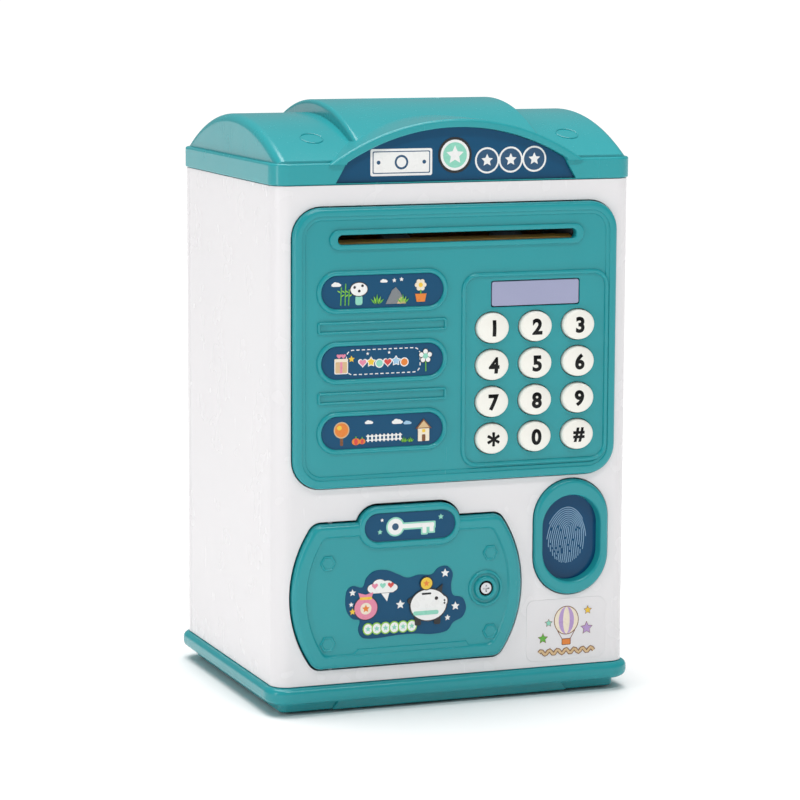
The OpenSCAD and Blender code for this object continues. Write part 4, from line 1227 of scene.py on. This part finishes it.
HOOD_FRONT = FRONT - 2.0
SIGN_FRONT = HOOD_FRONT + 2.8
HOOD_BORDER = 3.1
SIGN_R = HOOD_R - HOOD_BORDER - 0.4
SIGN_CZ = RIM_Z + HOOD_RISE - HOOD_BORDER - SIGN_R
SIGN_BOTTOM = TOP + 0.8
SIGN_HALF = math.sqrt(SIGN_R ** 2 - (RIM_Z - SIGN_CZ) ** 2)


def sign_outline(grow=0.0):
    """The sign: a low arch whose sides spread a little at the bottom."""
    lean = math.degrees(math.asin(SIGN_HALF / SIGN_R))
    wide, shoulder = SIGN_HALF + 4 + grow, SIGN_HALF + 1.4 + grow
    waist = (SIGN_BOTTOM + RIM_Z) / 2 + 0.8
    arch = arc(0.0, SIGN_CZ, SIGN_R + grow, 90 - lean, 90 + lean, 36)
    foot = [(-wide, SIGN_BOTTOM - grow), (wide, SIGN_BOTTOM - grow)]
    return foot + [(shoulder, waist)] + arch + [(-shoulder, waist)]


def recess_cutter():
    """A cutter with a flared mouth, which leaves the hood's inner edge soft."""
    path = [(0.15, SIGN_FRONT + 1.0), (0.15, HOOD_FRONT + 0.5), (0.3, HOOD_FRONT + 0.15),
            (0.6, HOOD_FRONT - 0.05), (0.7, HOOD_FRONT - 2.0)]
    return solid(sign_outline, path)


def coin_cutter():
    """The coin slot, with a flared mouth."""
    crest = RIM_Z + CENTRE_RISE
    path = [(0.0, RIM_Z), (0.0, crest - 0.7), (0.2, crest - 0.25), (0.7, crest + 0.1)]
    return solid(soft_box_shape(0.0, MID_Y, 30.0, 3.4, 1.2, 5), path + [(0.9, crest + 3.0)], lying)


print("half the sign's width", round(SIGN_HALF, 2))

# %% [markdown]
# The vaults meet at shallow angles. On the roof only edges flatter than fourteen degrees are shaded
# as one surface, so that each seam stays a crisp line, and the rounded edges above have enough
# steps to stay smooth under the same limit.

# %% Join, hollow and cut the roof
WALL = 2.2
SEAM_ANGLE = math.radians(14)
roof = combine(
    rim_block(0.5, TOP, RIM_Z, 0.9),
    [
        barrel_block(66.0, SIDE_RISE, SIDE_R, 3.0),
        barrel_block(35.5, CENTRE_RISE, CENTRE_R, 1.6),
        hood_block(HOOD_FRONT, HOOD_R, 1.0),
    ],
    "UNION",
)
roof = combine(
    roof,
    [
        rim_block(-3.4, TOP - 1.0, RIM_Z - WALL, 0.0),
        barrel_block(66.0, SIDE_RISE, SIDE_R, 0.0, WALL, RIM_Z - WALL - 0.5),
        barrel_block(35.5, CENTRE_RISE, CENTRE_R, 0.0, WALL, RIM_Z - WALL - 0.7),
        coin_cutter(),
    ],
    "DIFFERENCE",
)
roof = combine(roof, [recess_cutter()], "DIFFERENCE")
make_piece("roof", settle(roof), "case", [lit_roof_teal], ["roof_cover"], soft=SEAM_ANGLE)

# %% [markdown]
# Two faint rings on the front slopes of the side barrels are the marks of the mould's ejector
# pins. Each is a thin hoop, sunk by half into the slope.

# %% Ejector marks
MARK_X, MARK_Z, MARK_R = 48.6, 202.2, 4.0
MARK_WIRE = 0.28
marks = bmesh.new()
rise_to_mark = MARK_Z - (RIM_Z + SIDE_RISE - SIDE_R)
back_to_mark = math.sqrt(SIDE_R ** 2 - rise_to_mark ** 2)
lean_back = math.atan2(back_to_mark, rise_to_mark)
for side in (-1, 1):
    hoop = bmesh.ops.create_circle(marks, segments=8, radius=MARK_WIRE * MM)["verts"]
    bmesh.ops.rotate(marks, verts=hoop, cent=(0, 0, 0), matrix=Matrix.Rotation(math.pi / 2, 3, "X"))
    bmesh.ops.translate(marks, verts=hoop, vec=mm(MARK_R, 0, 0))
    hoop_edges = list({e for v in hoop for e in v.link_edges})
    bmesh.ops.spin(
        marks, geom=hoop + hoop_edges, cent=(0, 0, 0), axis=(0, 0, 1),
        angle=2 * math.pi, steps=40, use_merge=True,
    )
    made = [v for v in marks.verts if not v.tag]
    bmesh.ops.rotate(marks, verts=made, cent=(0, 0, 0), matrix=Matrix.Rotation(lean_back, 3, "X"))
    bmesh.ops.translate(marks, verts=made, vec=mm(side * MARK_X, MID_Y - back_to_mark, MARK_Z))
    for vert in made:
        vert.tag = True
make_piece("ejector_marks", settle(marks), "case", [lit_roof_teal], even=False)

# %% [markdown]
# ## Base
# The base is a tray with a bull-nosed band that stands out under the case, a smaller tier below
# it, and eight round pockets underneath, four of them for the rubber feet. It is drawn upwards as
# one wall.

# %% Base tray
BAND = 2.2
POCKETS = ((50.5, 38.5, 12.2, 1.6, 32), (35.5, 27.5, 7.2, 2.0, 28))
base = bmesh.new()
base_outline = soft_box_shape(0.0, MID_Y, CASE_W, CASE_D, CASE_R, 10)
base_path = (
    [(-3.9, 0.8), (-3.2, 1.2), (-3.0, 1.8), (-3.0, 3.4), (-2.6, 4.1), (-1.6, 4.45), (0.2, 4.5)]
    + arc(BAND - 2.3, 6.9, 2.3, -80, 0, 6)
    + arc(BAND - 2.2, 8.3, 2.2, 0, 68, 6)
    + [(0.3, 10.45), (-0.7, 10.45), (-0.7, 10.8), (-4.9, 10.8), (-4.9, 3.4)]
)
base_foot, base_inner = draw_wall(base, base_outline, base_path, lying)
base_holes = []
for sx in (-1, 1):
    for sy in (-1, 1):
        for x, y, wide, depth, steps in POCKETS:
            pocket = oval_shape(sx * x, MID_Y + sy * y, wide, wide, steps)
            mouth, roof_ring = draw_wall(base, pocket, [(0.0, 0.8), (0.0, depth)], lying)
            base_holes.append(mouth)
            fill(base, roof_ring)
fill(base, base_foot, *base_holes)
fill(base, base_inner)
plinth = soft_shape([(-45.4, 0.9), (45.4, 0.9), (43.0, 4.2), (-43.0, 4.2)], 0.4, 3)
plinth_path = [(0.0, FRONT + 3.6), (0.0, FRONT + 2.6), (-0.15, FRONT + 2.4), (-0.4, FRONT + 2.3)]
add_solid(base, plinth, plinth_path)
make_piece("base", settle(base), "case", [teal_plastic], ["base_tray"])

# %% [markdown]
# ## Printed pictures
# The films carry small cheerful pictures: coins, clouds, stars, plants. Each shape is a sheet of
# ink cut from an outline, a few hundredths of a millimetre thick, and later shapes lie a little
# higher, as overprinted ink does. The pictures are plain generic ones.

# %% The printer
INK_T = 0.008
COLOURS = {
    "white": "F4F4F2", "black": "17181A", "mint": "8FD8C0", "green": "5DB13A", "leaf": "8CCB3E",
    "yellow": "F3C93A", "orange": "E8832C", "brown": "7B4A22", "pink": "E88AA6", "red": "D8443E",
    "lilac": "B99BD0", "grey": "7E8387", "tan": "D9B98A", "sky": "9FC9E6", "navy": "1D4F73",
    "cream": "F3E6CF", "ridge": "8DB4D0",
}


class Printer:
    """Lays shapes of ink on a film that faces the front."""

    def __init__(self, cx, cz, surface):
        self.shape = bmesh.new()
        self.paint = self.shape.loops.layers.float_color.new("ink")
        self.cx, self.cz, self.surface = cx, cz, surface
        self.level = 0

    def lay(self, points, ink_name):
        """One closed sheet of ink."""
        before = set(self.shape.faces)
        fill(self.shape, start_ring(self.shape, self.places(points)))
        self.press(before, ink_name)

    def places(self, points):
        """Where the points of the next sheet lie."""
        height = self.surface - INK_T * (2 + self.level)
        return facing([(self.cx + x, self.cz + z) for x, z in points], height)

    def press(self, before, ink_name):
        """Gives the newest faces their thickness and their colour."""
        self.level += 1
        flat = [f for f in self.shape.faces if f not in before]
        under = bmesh.ops.extrude_face_region(self.shape, geom=flat, use_keep_orig=True)["geom"]
        for vert in (v for v in under if isinstance(v, bmesh.types.BMVert)):
            vert.co.y = (self.surface + 0.01) * MM
        value = colour(COLOURS[ink_name])
        for face in self.shape.faces:
            if face not in before:
                for loop in face.loops:
                    loop[self.paint] = value

    def disc(self, x, z, rx, rz=None, ink_name="white", steps=24):
        """A disc or an oval."""
        self.lay(oval_shape(x, z, 2 * rx, 2 * (rz or rx), steps)(), ink_name)

    def star(self, x, z, radius, ink_name="white", points=5, inner=0.48):
        """A star."""
        spots = []
        for i in range(2 * points):
            r = radius if i % 2 == 0 else radius * inner
            a = math.radians(90 + 180 * i / points)
            spots.append((x + r * math.cos(a), z + r * math.sin(a)))
        self.lay(spots, ink_name)

    def heart(self, x, z, size, ink_name="pink"):
        """A heart."""
        spots = []
        for i in range(24):
            t = 2 * math.pi * i / 24
            hx = 16 * math.sin(t) ** 3
            hz = 13 * math.cos(t) - 5 * math.cos(2 * t) - 2 * math.cos(3 * t) - math.cos(4 * t)
            spots.append((x - hx * size / 16, z + hz * size / 16))
        self.lay(spots, ink_name)

    def box(self, x, z, wide, high, ink_name, softness=0.3):
        """A rectangle with round corners."""
        outline = soft_box_shape(0, 0, wide, high, softness, 3)()
        self.lay([(x + a, z + b) for a, b in outline], ink_name)

    def line(self, path, width, ink_name):
        """A stroke with a constant width along a path."""
        left, right = [], []
        for i, (x, z) in enumerate(path):
            ax, az = path[max(i - 1, 0)]
            bx, bz = path[min(i + 1, len(path) - 1)]
            along = Vector((bx - ax, bz - az)).normalized() * width / 2
            left.append((x - along.y, z + along.x))
            right.append((x + along.y, z - along.x))
        before = set(self.shape.faces)
        chain = [self.shape.verts.new(place) for place in self.places(left)]
        edges = [self.shape.edges.new(pair) for pair in zip(chain, chain[1:])]
        made = bmesh.ops.extrude_edge_only(self.shape, edges=edges)["geom"]
        fresh = {v for v in made if isinstance(v, bmesh.types.BMVert)}
        for old, place in zip(chain, self.places(right)):
            next(e.other_vert(old) for e in old.link_edges if e.other_vert(old) in fresh).co = place
        self.press(before, ink_name)

    def blade(self, x, z, dx, dz, width, ink_name):
        """A leaf or a blade of grass, from its foot to its tip."""
        side = Vector((-dz, dx)).normalized() * width
        mid = (x + dx * 0.45, z + dz * 0.5)
        near, far = (mid[0] - side.x, mid[1] - side.y), (mid[0] + side.x, mid[1] + side.y)
        spots = [(x, z), near, (x + dx, z + dz), far]
        self.lay(spots[::-1], ink_name)

    def cloud(self, x, z, size, ink_name="white"):
        """Four overlapping ovals on a flat foot."""
        for dx, dz, r in ((-1.0, 0.0, 0.55), (-0.35, 0.3, 0.7), (0.45, 0.2, 0.62), (1.05, -0.02, 0.45)):
            self.disc(x + dx * size, z + dz * size, r * size, r * size * 0.8, ink_name, 16)
        self.box(x, z - 0.22 * size, 2.4 * size, 0.5 * size, ink_name, 0.2 * size)

    def grass(self, x, z, size):
        """A tuft of five blades."""
        for i, lean in enumerate((-0.8, -0.4, 0.0, 0.45, 0.85)):
            self.blade(x + lean * 0.4 * size, z, lean * size, (1.7 - abs(lean)) * size, 0.16 * size,
                       "leaf" if i % 2 else "green")

    def finish(self, name, body):
        """Makes the picture a piece."""
        bmesh.ops.recalc_face_normals(self.shape, faces=self.shape.faces)
        return make_piece(name, self.shape, body, [ink], even=False)


print("inks", len(COLOURS))

# %% [markdown]
# The sign carries a banknote and four coins. The note and the coin are functions, because the
# coin comes again on the door.

# %% Sign over the panel
sign_low = box_mm("sign_plate")[0]
sign = Printer(0.0, 195.2, sign_low.y)


def banknote(paper, x, z, wide, high):
    """A note with a frame, a round middle and two dots."""
    paper.box(x, z, wide, high, "white", 0.7)
    paper.box(x, z, wide - 1.6, high - 1.6, "navy", 0.5)
    paper.box(x, z, wide - 2.3, high - 2.3, "white", 0.4)
    paper.disc(x, z, high * 0.27, None, "navy")
    paper.disc(x, z, high * 0.19, None, "white")
    for side in (-1, 1):
        paper.disc(x + side * (wide / 2 - 3.0), z, 0.7, None, "navy")


def coin(paper, x, z, radius, face="yellow", edge="white", mark="white"):
    """A coin with a rim and a star."""
    paper.disc(x, z, radius, None, edge, 28)
    paper.disc(x, z, radius * 0.86, None, face, 28)
    paper.star(x, z, radius * 0.5, mark)


banknote(sign, -20.6, -0.9, 23.0, 9.4)
for i in range(3):
    coin(sign, 11.6 + i * 9.0, -0.9 + 0.1 * i, 4.6, "navy", "white", "white")
coin(sign, -0.6, 1.2, 6.3, "white", "black", "black")
sign.disc(-0.6, 1.2, 4.5, None, "mint")
sign.star(-0.6, 1.2, 3.4, "white")
sign.finish("sign_picture", "case")

# %% [markdown]
# The top pill shows a garden: bamboo, a mushroom, a rock, grass and a flower in a pot.

# %% Pills beside the keypad
pill_front = labels_low.y
top_pill = Printer(PILL_X, PILL_Z[2], pill_front)
top_pill.cloud(-17.2, 2.6, 1.2)
for x, high in ((-15.6, 6.4), (-14.0, 7.6), (-12.7, 5.6)):
    top_pill.line([(x, -4.6), (x + 0.1, -4.6 + high / 2), (x + 0.25, -4.6 + high)], 0.4, "green")
    top_pill.blade(x, -1.6, 1.5, 0.9, 0.25, "leaf")
    top_pill.blade(x, -0.2, -1.4, 0.9, 0.25, "leaf")
top_pill.box(-8.9, -2.9, 2.6, 3.4, "mint", 0.8)
top_pill.disc(-8.9, 0.9, 3.4, 2.6, "black", 28)
top_pill.disc(-8.9, 0.9, 3.1, 2.3, "white", 28)
for dx, dz in ((-1.6, 0.7), (1.3, 1.2), (0.1, -0.6)):
    top_pill.disc(-8.9 + dx, 0.9 + dz, 0.5, 0.5, "black", 14)
top_pill.cloud(0.4, 3.4, 0.9)
for x, z in ((4.2, 3.6), (6.9, 3.9)):
    top_pill.star(x, z, 0.8)
top_pill.lay([(1.0, -4.6), (8.4, -4.6), (6.4, -0.6), (4.8, 1.2), (3.4, 0.2)], "grey")
top_pill.lay([(5.2, -4.6), (8.6, -4.6), (7.4, -2.2), (6.2, -2.6)], "tan")
top_pill.grass(-2.2, -4.5, 2.1)
top_pill.grass(7.4, -4.5, 1.9)
top_pill.lay([(12.6, -4.2), (15.6, -4.2), (16.2, -1.4), (12.0, -1.4)], "orange")
top_pill.line([(14.1, -1.4), (14.0, 0.8)], 0.4, "green")
for i in range(6):
    a = math.radians(60 * i)
    top_pill.disc(14.0 + 1.35 * math.cos(a), 1.7 + 1.35 * math.sin(a), 0.8, 0.8, "cream", 14)
top_pill.disc(14.0, 1.7, 0.8, 0.8, "yellow", 16)
top_pill.finish("top_pill_picture", "case")

# %% [markdown]
# The middle pill has a dashed frame, whose dashes are measured out along the outline so that they
# keep one length round the corners. The dashes never overlap, so all are laid at one level.

# %% Middle pill
middle_pill = Printer(PILL_X, PILL_Z[1], pill_front)
dash_outline = soft_box_shape(0.3, 0.0, 27.5, 8.6, 2.4, 8)()
lengths = [0.0]
for one, two in zip(dash_outline, dash_outline[1:] + dash_outline[:1]):
    lengths.append(lengths[-1] + math.dist(one, two))


def along_outline(points, marks_at, distance):
    """The point at some distance along a closed outline."""
    distance %= marks_at[-1]
    i = max(k for k in range(len(points)) if marks_at[k] <= distance)
    share = (distance - marks_at[i]) / max(marks_at[i + 1] - marks_at[i], 1e-6)
    a, b = Vector(points[i]), Vector(points[(i + 1) % len(points)])
    return tuple(a.lerp(b, share))


dashes = 34
for i in range(dashes):
    start = lengths[-1] * i / dashes
    path = [along_outline(dash_outline, lengths, start + 1.15 * k / 3) for k in range(4)]
    middle_pill.level = 0
    middle_pill.line(path, 0.34, "white")
CHARMS = (
    ("heart", "pink"), ("star", "yellow"), ("coin", "mint"),
    ("heart", "red"), ("star", "sky"), ("coin", "orange"),
)
for i, (kind, tint) in enumerate(CHARMS):
    x, z = -7.4 + i * 3.1, -0.4 + 0.35 * math.sin(i * 2.0)
    if kind == "heart":
        middle_pill.heart(x, z + 0.2, 1.75, "white")
        middle_pill.heart(x, z + 0.2, 1.35, tint)
    elif kind == "star":
        middle_pill.star(x, z, 1.95, "white", 5, 0.6)
        middle_pill.star(x, z, 1.5, tint, 5, 0.6)
    else:
        middle_pill.disc(x, z, 1.6, 1.6, "white")
        middle_pill.disc(x, z, 1.25, 1.25, tint)
middle_pill.star(-5.6, 2.9, 0.6)
middle_pill.star(2.4, 3.0, 0.6)
middle_pill.box(-15.4, -1.6, 5.0, 4.6, "white", 0.5)
middle_pill.box(-15.4, -1.6, 4.4, 4.0, "tan", 0.4)
middle_pill.box(-15.4, -1.6, 0.9, 4.0, "pink", 0.1)
middle_pill.box(-15.4, 0.9, 5.0, 1.1, "cream", 0.3)
middle_pill.heart(-16.2, 2.4, 0.9, "pink")
middle_pill.heart(-14.6, 2.4, 0.9, "pink")
middle_pill.star(-11.6, 1.2, 1.2, "yellow")
middle_pill.line([(16.2, -4.2), (16.1, -0.6)], 0.4, "green")
for i in range(5):
    a = math.radians(72 * i + 90)
    middle_pill.disc(16.0 + 1.6 * math.cos(a), 1.2 + 1.6 * math.sin(a), 1.05, 1.05, "black", 16)
    middle_pill.disc(16.0 + 1.6 * math.cos(a), 1.2 + 1.6 * math.sin(a), 0.85, 0.85, "white", 16)
middle_pill.disc(16.0, 1.2, 0.95, 0.95, "mint")
middle_pill.finish("middle_pill_picture", "case")

# %% [markdown]
# The lowest pill shows a tree, two pumpkins, a fence and a house under some clouds.

# %% Lowest pill
low_pill = Printer(PILL_X, PILL_Z[0], pill_front)
low_pill.box(-15.2, -2.6, 1.1, 3.8, "brown", 0.3)
low_pill.disc(-15.2, 1.0, 2.9, 2.9, "tan")
low_pill.disc(-15.2, 1.0, 2.5, 2.5, "orange")
low_pill.disc(-16.0, 1.8, 0.9, 0.8, "yellow")
low_pill.cloud(-5.0, 3.2, 1.0)
low_pill.cloud(5.6, 2.9, 1.35)
low_pill.cloud(9.4, 2.4, 1.0, "sky")
for x, r in ((-9.9, 1.5), (-7.6, 1.2)):
    low_pill.disc(x, -3.3, r, r * 0.82, "orange")
    low_pill.disc(x, -3.3, r * 0.45, r * 0.8, "red")
    low_pill.box(x, -3.3 + r, 0.4, 0.7, "green", 0.1)
for i in range(9):
    low_pill.box(-5.4 + 1.5 * i, -2.3, 0.62, 2.7, "white", 0.28)
for z in (-1.6, -3.0):
    low_pill.box(0.6, z, 13.4, 0.4, "white", 0.1)
low_pill.grass(8.0, -4.4, 1.2)
low_pill.grass(10.4, -4.4, 1.1)
low_pill.box(15.4, -2.0, 4.2, 4.6, "cream", 0.3)
low_pill.lay([(12.4, 0.2), (18.4, 0.2), (15.4, 3.6)], "brown")
low_pill.lay([(13.2, 0.5), (17.6, 0.5), (15.4, 3.0)], "tan")
low_pill.box(15.4, -3.1, 1.3, 2.4, "brown", 0.3)
low_pill.box(15.4, -0.6, 1.2, 1.1, "yellow", 0.2)
low_pill.finish("low_pill_picture", "case")

# %% [markdown]
# The films themselves are thin plates with an eased edge. The three pills are one CAD part, so
# their films are one piece too.

# %% Film pieces with soft edges
def film_path(front, back):
    """The section of a film's edge, from its back to its eased front."""
    return [(0.0, back)] + turn(-0.1, front + 0.1, 0.1, 0, -90, 2)


def film_piece(name, outline, front, back, body, finish, replaced):
    """A thin printed film with an eased edge."""
    return make_piece(name, solid(outline, film_path(front, back)), body, [finish], replaced)


labels = bmesh.new()
for z in PILL_Z:
    add_solid(labels, pill_shape(PILL_X, z, 45.2, FILM_H, 14), film_path(pill_front, FLOOR))
make_piece("pill_films", settle(labels), "case", [navy_film], ["panel_labels"])

# %% [markdown]
# ## Pictures on the door
# The sign on the door shows a key, which says "safe" in any language. The larger film has the
# outline of a cloud and shows a money box, a purse and a row of coins.

# %% Key on the door's sign
sign_label_low = box_mm("door_sign_label")[0]
door_sign = Printer(SIGN_X, SIGN_Z, sign_label_low.y)
for swell, tint in ((0.55, "mint"), (0.0, "white")):
    door_sign.disc(-5.6, 0.0, 2.9 + swell, 2.9 + swell, tint, 28)
    door_sign.box(2.6, 0.0, 13.0 + 2 * swell, 1.5 + 2 * swell, tint, 0.4)
    door_sign.box(5.4, -1.6, 1.5 + 2 * swell, 2.6 + 2 * swell, tint, 0.3)
    door_sign.box(8.1, -1.4, 1.5 + 2 * swell, 2.2 + 2 * swell, tint, 0.3)
door_sign.disc(-5.6, 0.0, 1.25, 1.25, "navy")
door_sign.star(11.6, 2.6, 1.1, "mint")
door_sign.star(-11.4, -1.6, 1.0, "mint")
door_sign.star(-10.6, 2.6, 0.7, "white")
door_sign.finish("door_sign_picture", "door")

# %% [markdown]
# The door's film is cut along a cloud. Its outline is a short list of points with a smooth curve
# through them, which is easier to adjust than a long list of points on the curve.

# %% The cloud-shaped film
label_low = box_mm("door_label")[0]
LABEL_X, LABEL_Z = middle_of("door_label")
BLOB = [
    (-22.8, -0.5), (-22.6, 5.2), (-20.2, 7.2), (-16.6, 6.4), (-15.2, 9.6), (-12.2, 12.0),
    (-7.6, 12.1),
    (-3.4, 10.4), (0.4, 8.8), (4.6, 9.6), (9.6, 9.4), (12.0, 11.6), (15.4, 12.1), (17.6, 9.4),
    (17.0, 5.2), (17.8, 1.4), (21.4, 0.2), (22.8, -3.4), (21.4, -6.8), (18.0, -8.4), (15.4, -11.4),
    (9.6, -12.2), (3.6, -11.6), (-3.4, -11.6), (-11.6, -12.2), (-16.6, -11.6), (-18.2, -8.6),
    (-17.6, -5.4),
    (-20.6, -4.4),
]


def smooth_loop(points, steps=4):
    """A rounded closed curve through the points."""
    count = len(points)
    curve = []
    for i in range(count):
        a, b, c, d = (Vector(points[(i + k) % count]) for k in (-1, 0, 1, 2))
        for s in range(steps):
            t = s / steps
            spot = 0.5 * (
                (2 * b) + (c - a) * t + (2 * a - 5 * b + 4 * c - d) * t * t
                + (3 * b - a - 3 * c + d) * t ** 3
            )
            curve.append((spot.x, spot.y))
    return curve


def blob_outline(grow=0.0):
    """The cloud, scaled a little to grow."""
    scale = 1 + grow / 20
    return [(LABEL_X + x * scale, LABEL_Z + z * scale) for x, z in smooth_loop(BLOB)][::-1]


film_piece(
    "door_film", blob_outline, label_low.y, FIELD, "door", navy_film, ["door_label"]
)

# %% [markdown]
# On the cloud lie a purse, a money box in the shape of a pig with a coin over its slot, a small
# cloud with hearts, a row of coins and some stars. The pig's dark outline is laid first, a
# little larger than the white shapes that cover it.

# %% Pictures on the cloud
scene_print = Printer(LABEL_X, LABEL_Z, label_low.y)
scene_print.cloud(-9.0, 5.8, 3.9, "black")
scene_print.cloud(-9.0, 5.8, 3.7, "white")
scene_print.lay([(-9.6, 3.9), (-6.6, 3.9), (-7.4, 0.9)], "white")
for i, tint in enumerate(("pink", "mint", "red")):
    scene_print.heart(-12.0 + 3.0 * i, 6.7, 1.15, tint)
scene_print.disc(-15.4, -1.0, 4.6, 4.4, "black", 28)
scene_print.disc(-15.4, -1.0, 4.3, 4.1, "pink", 28)
scene_print.lay([(-17.4, 2.2), (-13.4, 2.2), (-12.6, 4.6), (-15.4, 3.8), (-18.2, 4.6)], "pink")
scene_print.box(-15.4, 2.5, 4.6, 1.0, "yellow", 0.4)
scene_print.disc(-15.4, -1.2, 2.1, 2.1, "cream")
scene_print.star(-15.4, -1.2, 1.5, "orange")
for x, z, r, tint in (
    (-20.4, 4.8, 1.3, "white"), (-20.9, 0.6, 0.9, "white"), (-2.4, -0.6, 1.7, "white"),
    (14.6, 9.6, 1.6, "white"),
    (18.6, -2.6, 1.6, "white"), (15.6, -6.6, 1.1, "white"), (-20.4, -2.0, 1.2, "yellow"),
):
    scene_print.star(x, z, r, tint)
for i in range(6):
    x = -14.6 + 3.3 * i
    scene_print.disc(x, -8.6, 2.0, 2.2, "leaf", 20)
    scene_print.disc(x, -8.6, 1.6, 1.8, "white", 20)
    scene_print.star(x, -8.6, 1.1, "mint")
for x, z, rx, rz in ((8.2, -1.4, 6.8, 5.6), (13.8, -0.4, 1.6, 1.9), (1.6, 0.4, 0.9, 0.8)):
    scene_print.disc(x, z, rx + 0.4, rz + 0.4, "black", 32)
for x in (4.2, 11.6):
    scene_print.box(x, -6.9, 2.4, 3.4, "black", 0.5)
scene_print.lay([(10.4, 3.4), (13.2, 2.4), (13.6, 5.8)], "black")
for x, z, rx, rz in ((8.2, -1.4, 6.8, 5.6), (13.8, -0.4, 1.6, 1.9)):
    scene_print.disc(x, z, rx, rz, "white", 32)
scene_print.disc(14.3, -0.1, 0.35, 0.4, "black", 12)
scene_print.disc(14.3, -1.1, 0.35, 0.4, "black", 12)
scene_print.disc(11.2, 0.8, 0.65, 0.65, "black", 16)
scene_print.box(7.4, 2.7, 3.6, 0.7, "black", 0.3)
scene_print.box(7.2, -4.2, 9.6, 1.5, "mint", 0.6)
coin(scene_print, 7.4, 6.4, 2.5, "yellow", "black", "orange")
scene_print.finish("door_picture", "door")

# %% [markdown]
# ## Corner film and fingertip
# The film in the lower corner shows a balloon and a few stars. The print of a finger in the
# window is a family of arches, drawn one outside the other and broken here and there.

# %% Corner film
corner_low, corner_high = box_mm("corner_label")
CORNER_X, CORNER_Z = middle_of("corner_label")
film_piece(
    "corner_film", soft_box_shape(CORNER_X, CORNER_Z, 31.0, 22.4, 3.0, 6), corner_low.y, corner_high.y,
    "case", pale_film, ["corner_label"],
)
corner = Printer(CORNER_X, CORNER_Z, corner_low.y)
corner.disc(0.2, 3.2, 4.9, 5.3, "brown", 32)
corner.disc(0.2, 3.2, 4.6, 5.0, "cream", 32)
corner.disc(0.2, 3.2, 3.0, 5.0, "lilac", 32)
corner.disc(0.2, 3.2, 1.3, 5.0, "cream", 24)
corner.line([(-3.2, -0.6), (-1.2, -4.0)], 0.25, "brown")
corner.line([(3.6, -0.6), (1.6, -4.0)], 0.25, "brown")
corner.box(0.2, -4.7, 3.6, 2.4, "brown", 0.4)
corner.box(0.2, -4.7, 3.1, 1.9, "orange", 0.4)
for x, z, r, tint in (
    (-9.0, -3.0, 1.8, "green"), (-6.8, 2.6, 1.3, "mint"), (8.6, 6.4, 1.4, "yellow"),
    (8.2, -0.2, 2.2, "lilac"),
):
    corner.star(x, z, r + 0.3, "brown")
    corner.star(x, z, r, tint)
wave = [(-10.5 + 0.6 * i, -8.2 + 0.75 * math.sin(i * 1.15)) for i in range(37)]
corner.line(wave, 1.5, "brown")
corner.line(wave, 0.9, "tan")
corner.finish("corner_picture", "case")

# %% [markdown]
# The ridges follow no real finger. Each is an arch from a formula, bent by two waves, broken at
# three places drawn at random from a fixed seed, and kept only inside an oval.

# %% Fingertip
window_back = box_mm("sensor_lens")[1].y
film_piece(
    "finger_floor", pill_shape(BEZEL_X, WELL_Z, 24.0, 32.9, 16), WELL_FLOOR, window_back,
    "case", finger_film, ["sensor_lens"],
)
tip = Printer(44.3, 58.2, WELL_FLOOR)
HALF_TIP_W, HALF_TIP_H = 7.7, 10.4
RIDGE_PITCH, RIDGE_W = 0.72, 0.26
random.seed(7)
for k in range(1, 13):
    wide, core = RIDGE_PITCH * k - 0.4, 2.6
    path = [(-wide, core - 0.4 * i) for i in range(36, 0, -1)]
    path += [(-wide * math.cos(math.radians(7.5 * i)), core + 1.0 * wide * math.sin(math.radians(7.5 * i)))
             for i in range(25)]
    path += [(wide, core - 0.4 * i) for i in range(1, 37)]
    path = [
        (x + 0.55 * math.sin(0.36 * z + 0.2 * x + 0.4) - 0.012 * (z - core) * x,
         z + 0.35 * math.sin(0.4 * x))
        for x, z in path
    ]
    breaks = {random.randint(8, len(path) - 8) for _ in range(3)}
    run = []
    for i, (x, z) in enumerate(path):
        inside = (x / HALF_TIP_W) ** 2 + (z / HALF_TIP_H) ** 2 < 1.0
        if inside and i not in breaks:
            run.append((x, z))
        elif run:
            if len(run) > 3:
                tip.level = 0
                tip.line(run, RIDGE_W, "ridge")
            run = []
tip.finish("fingertip_print", "case")
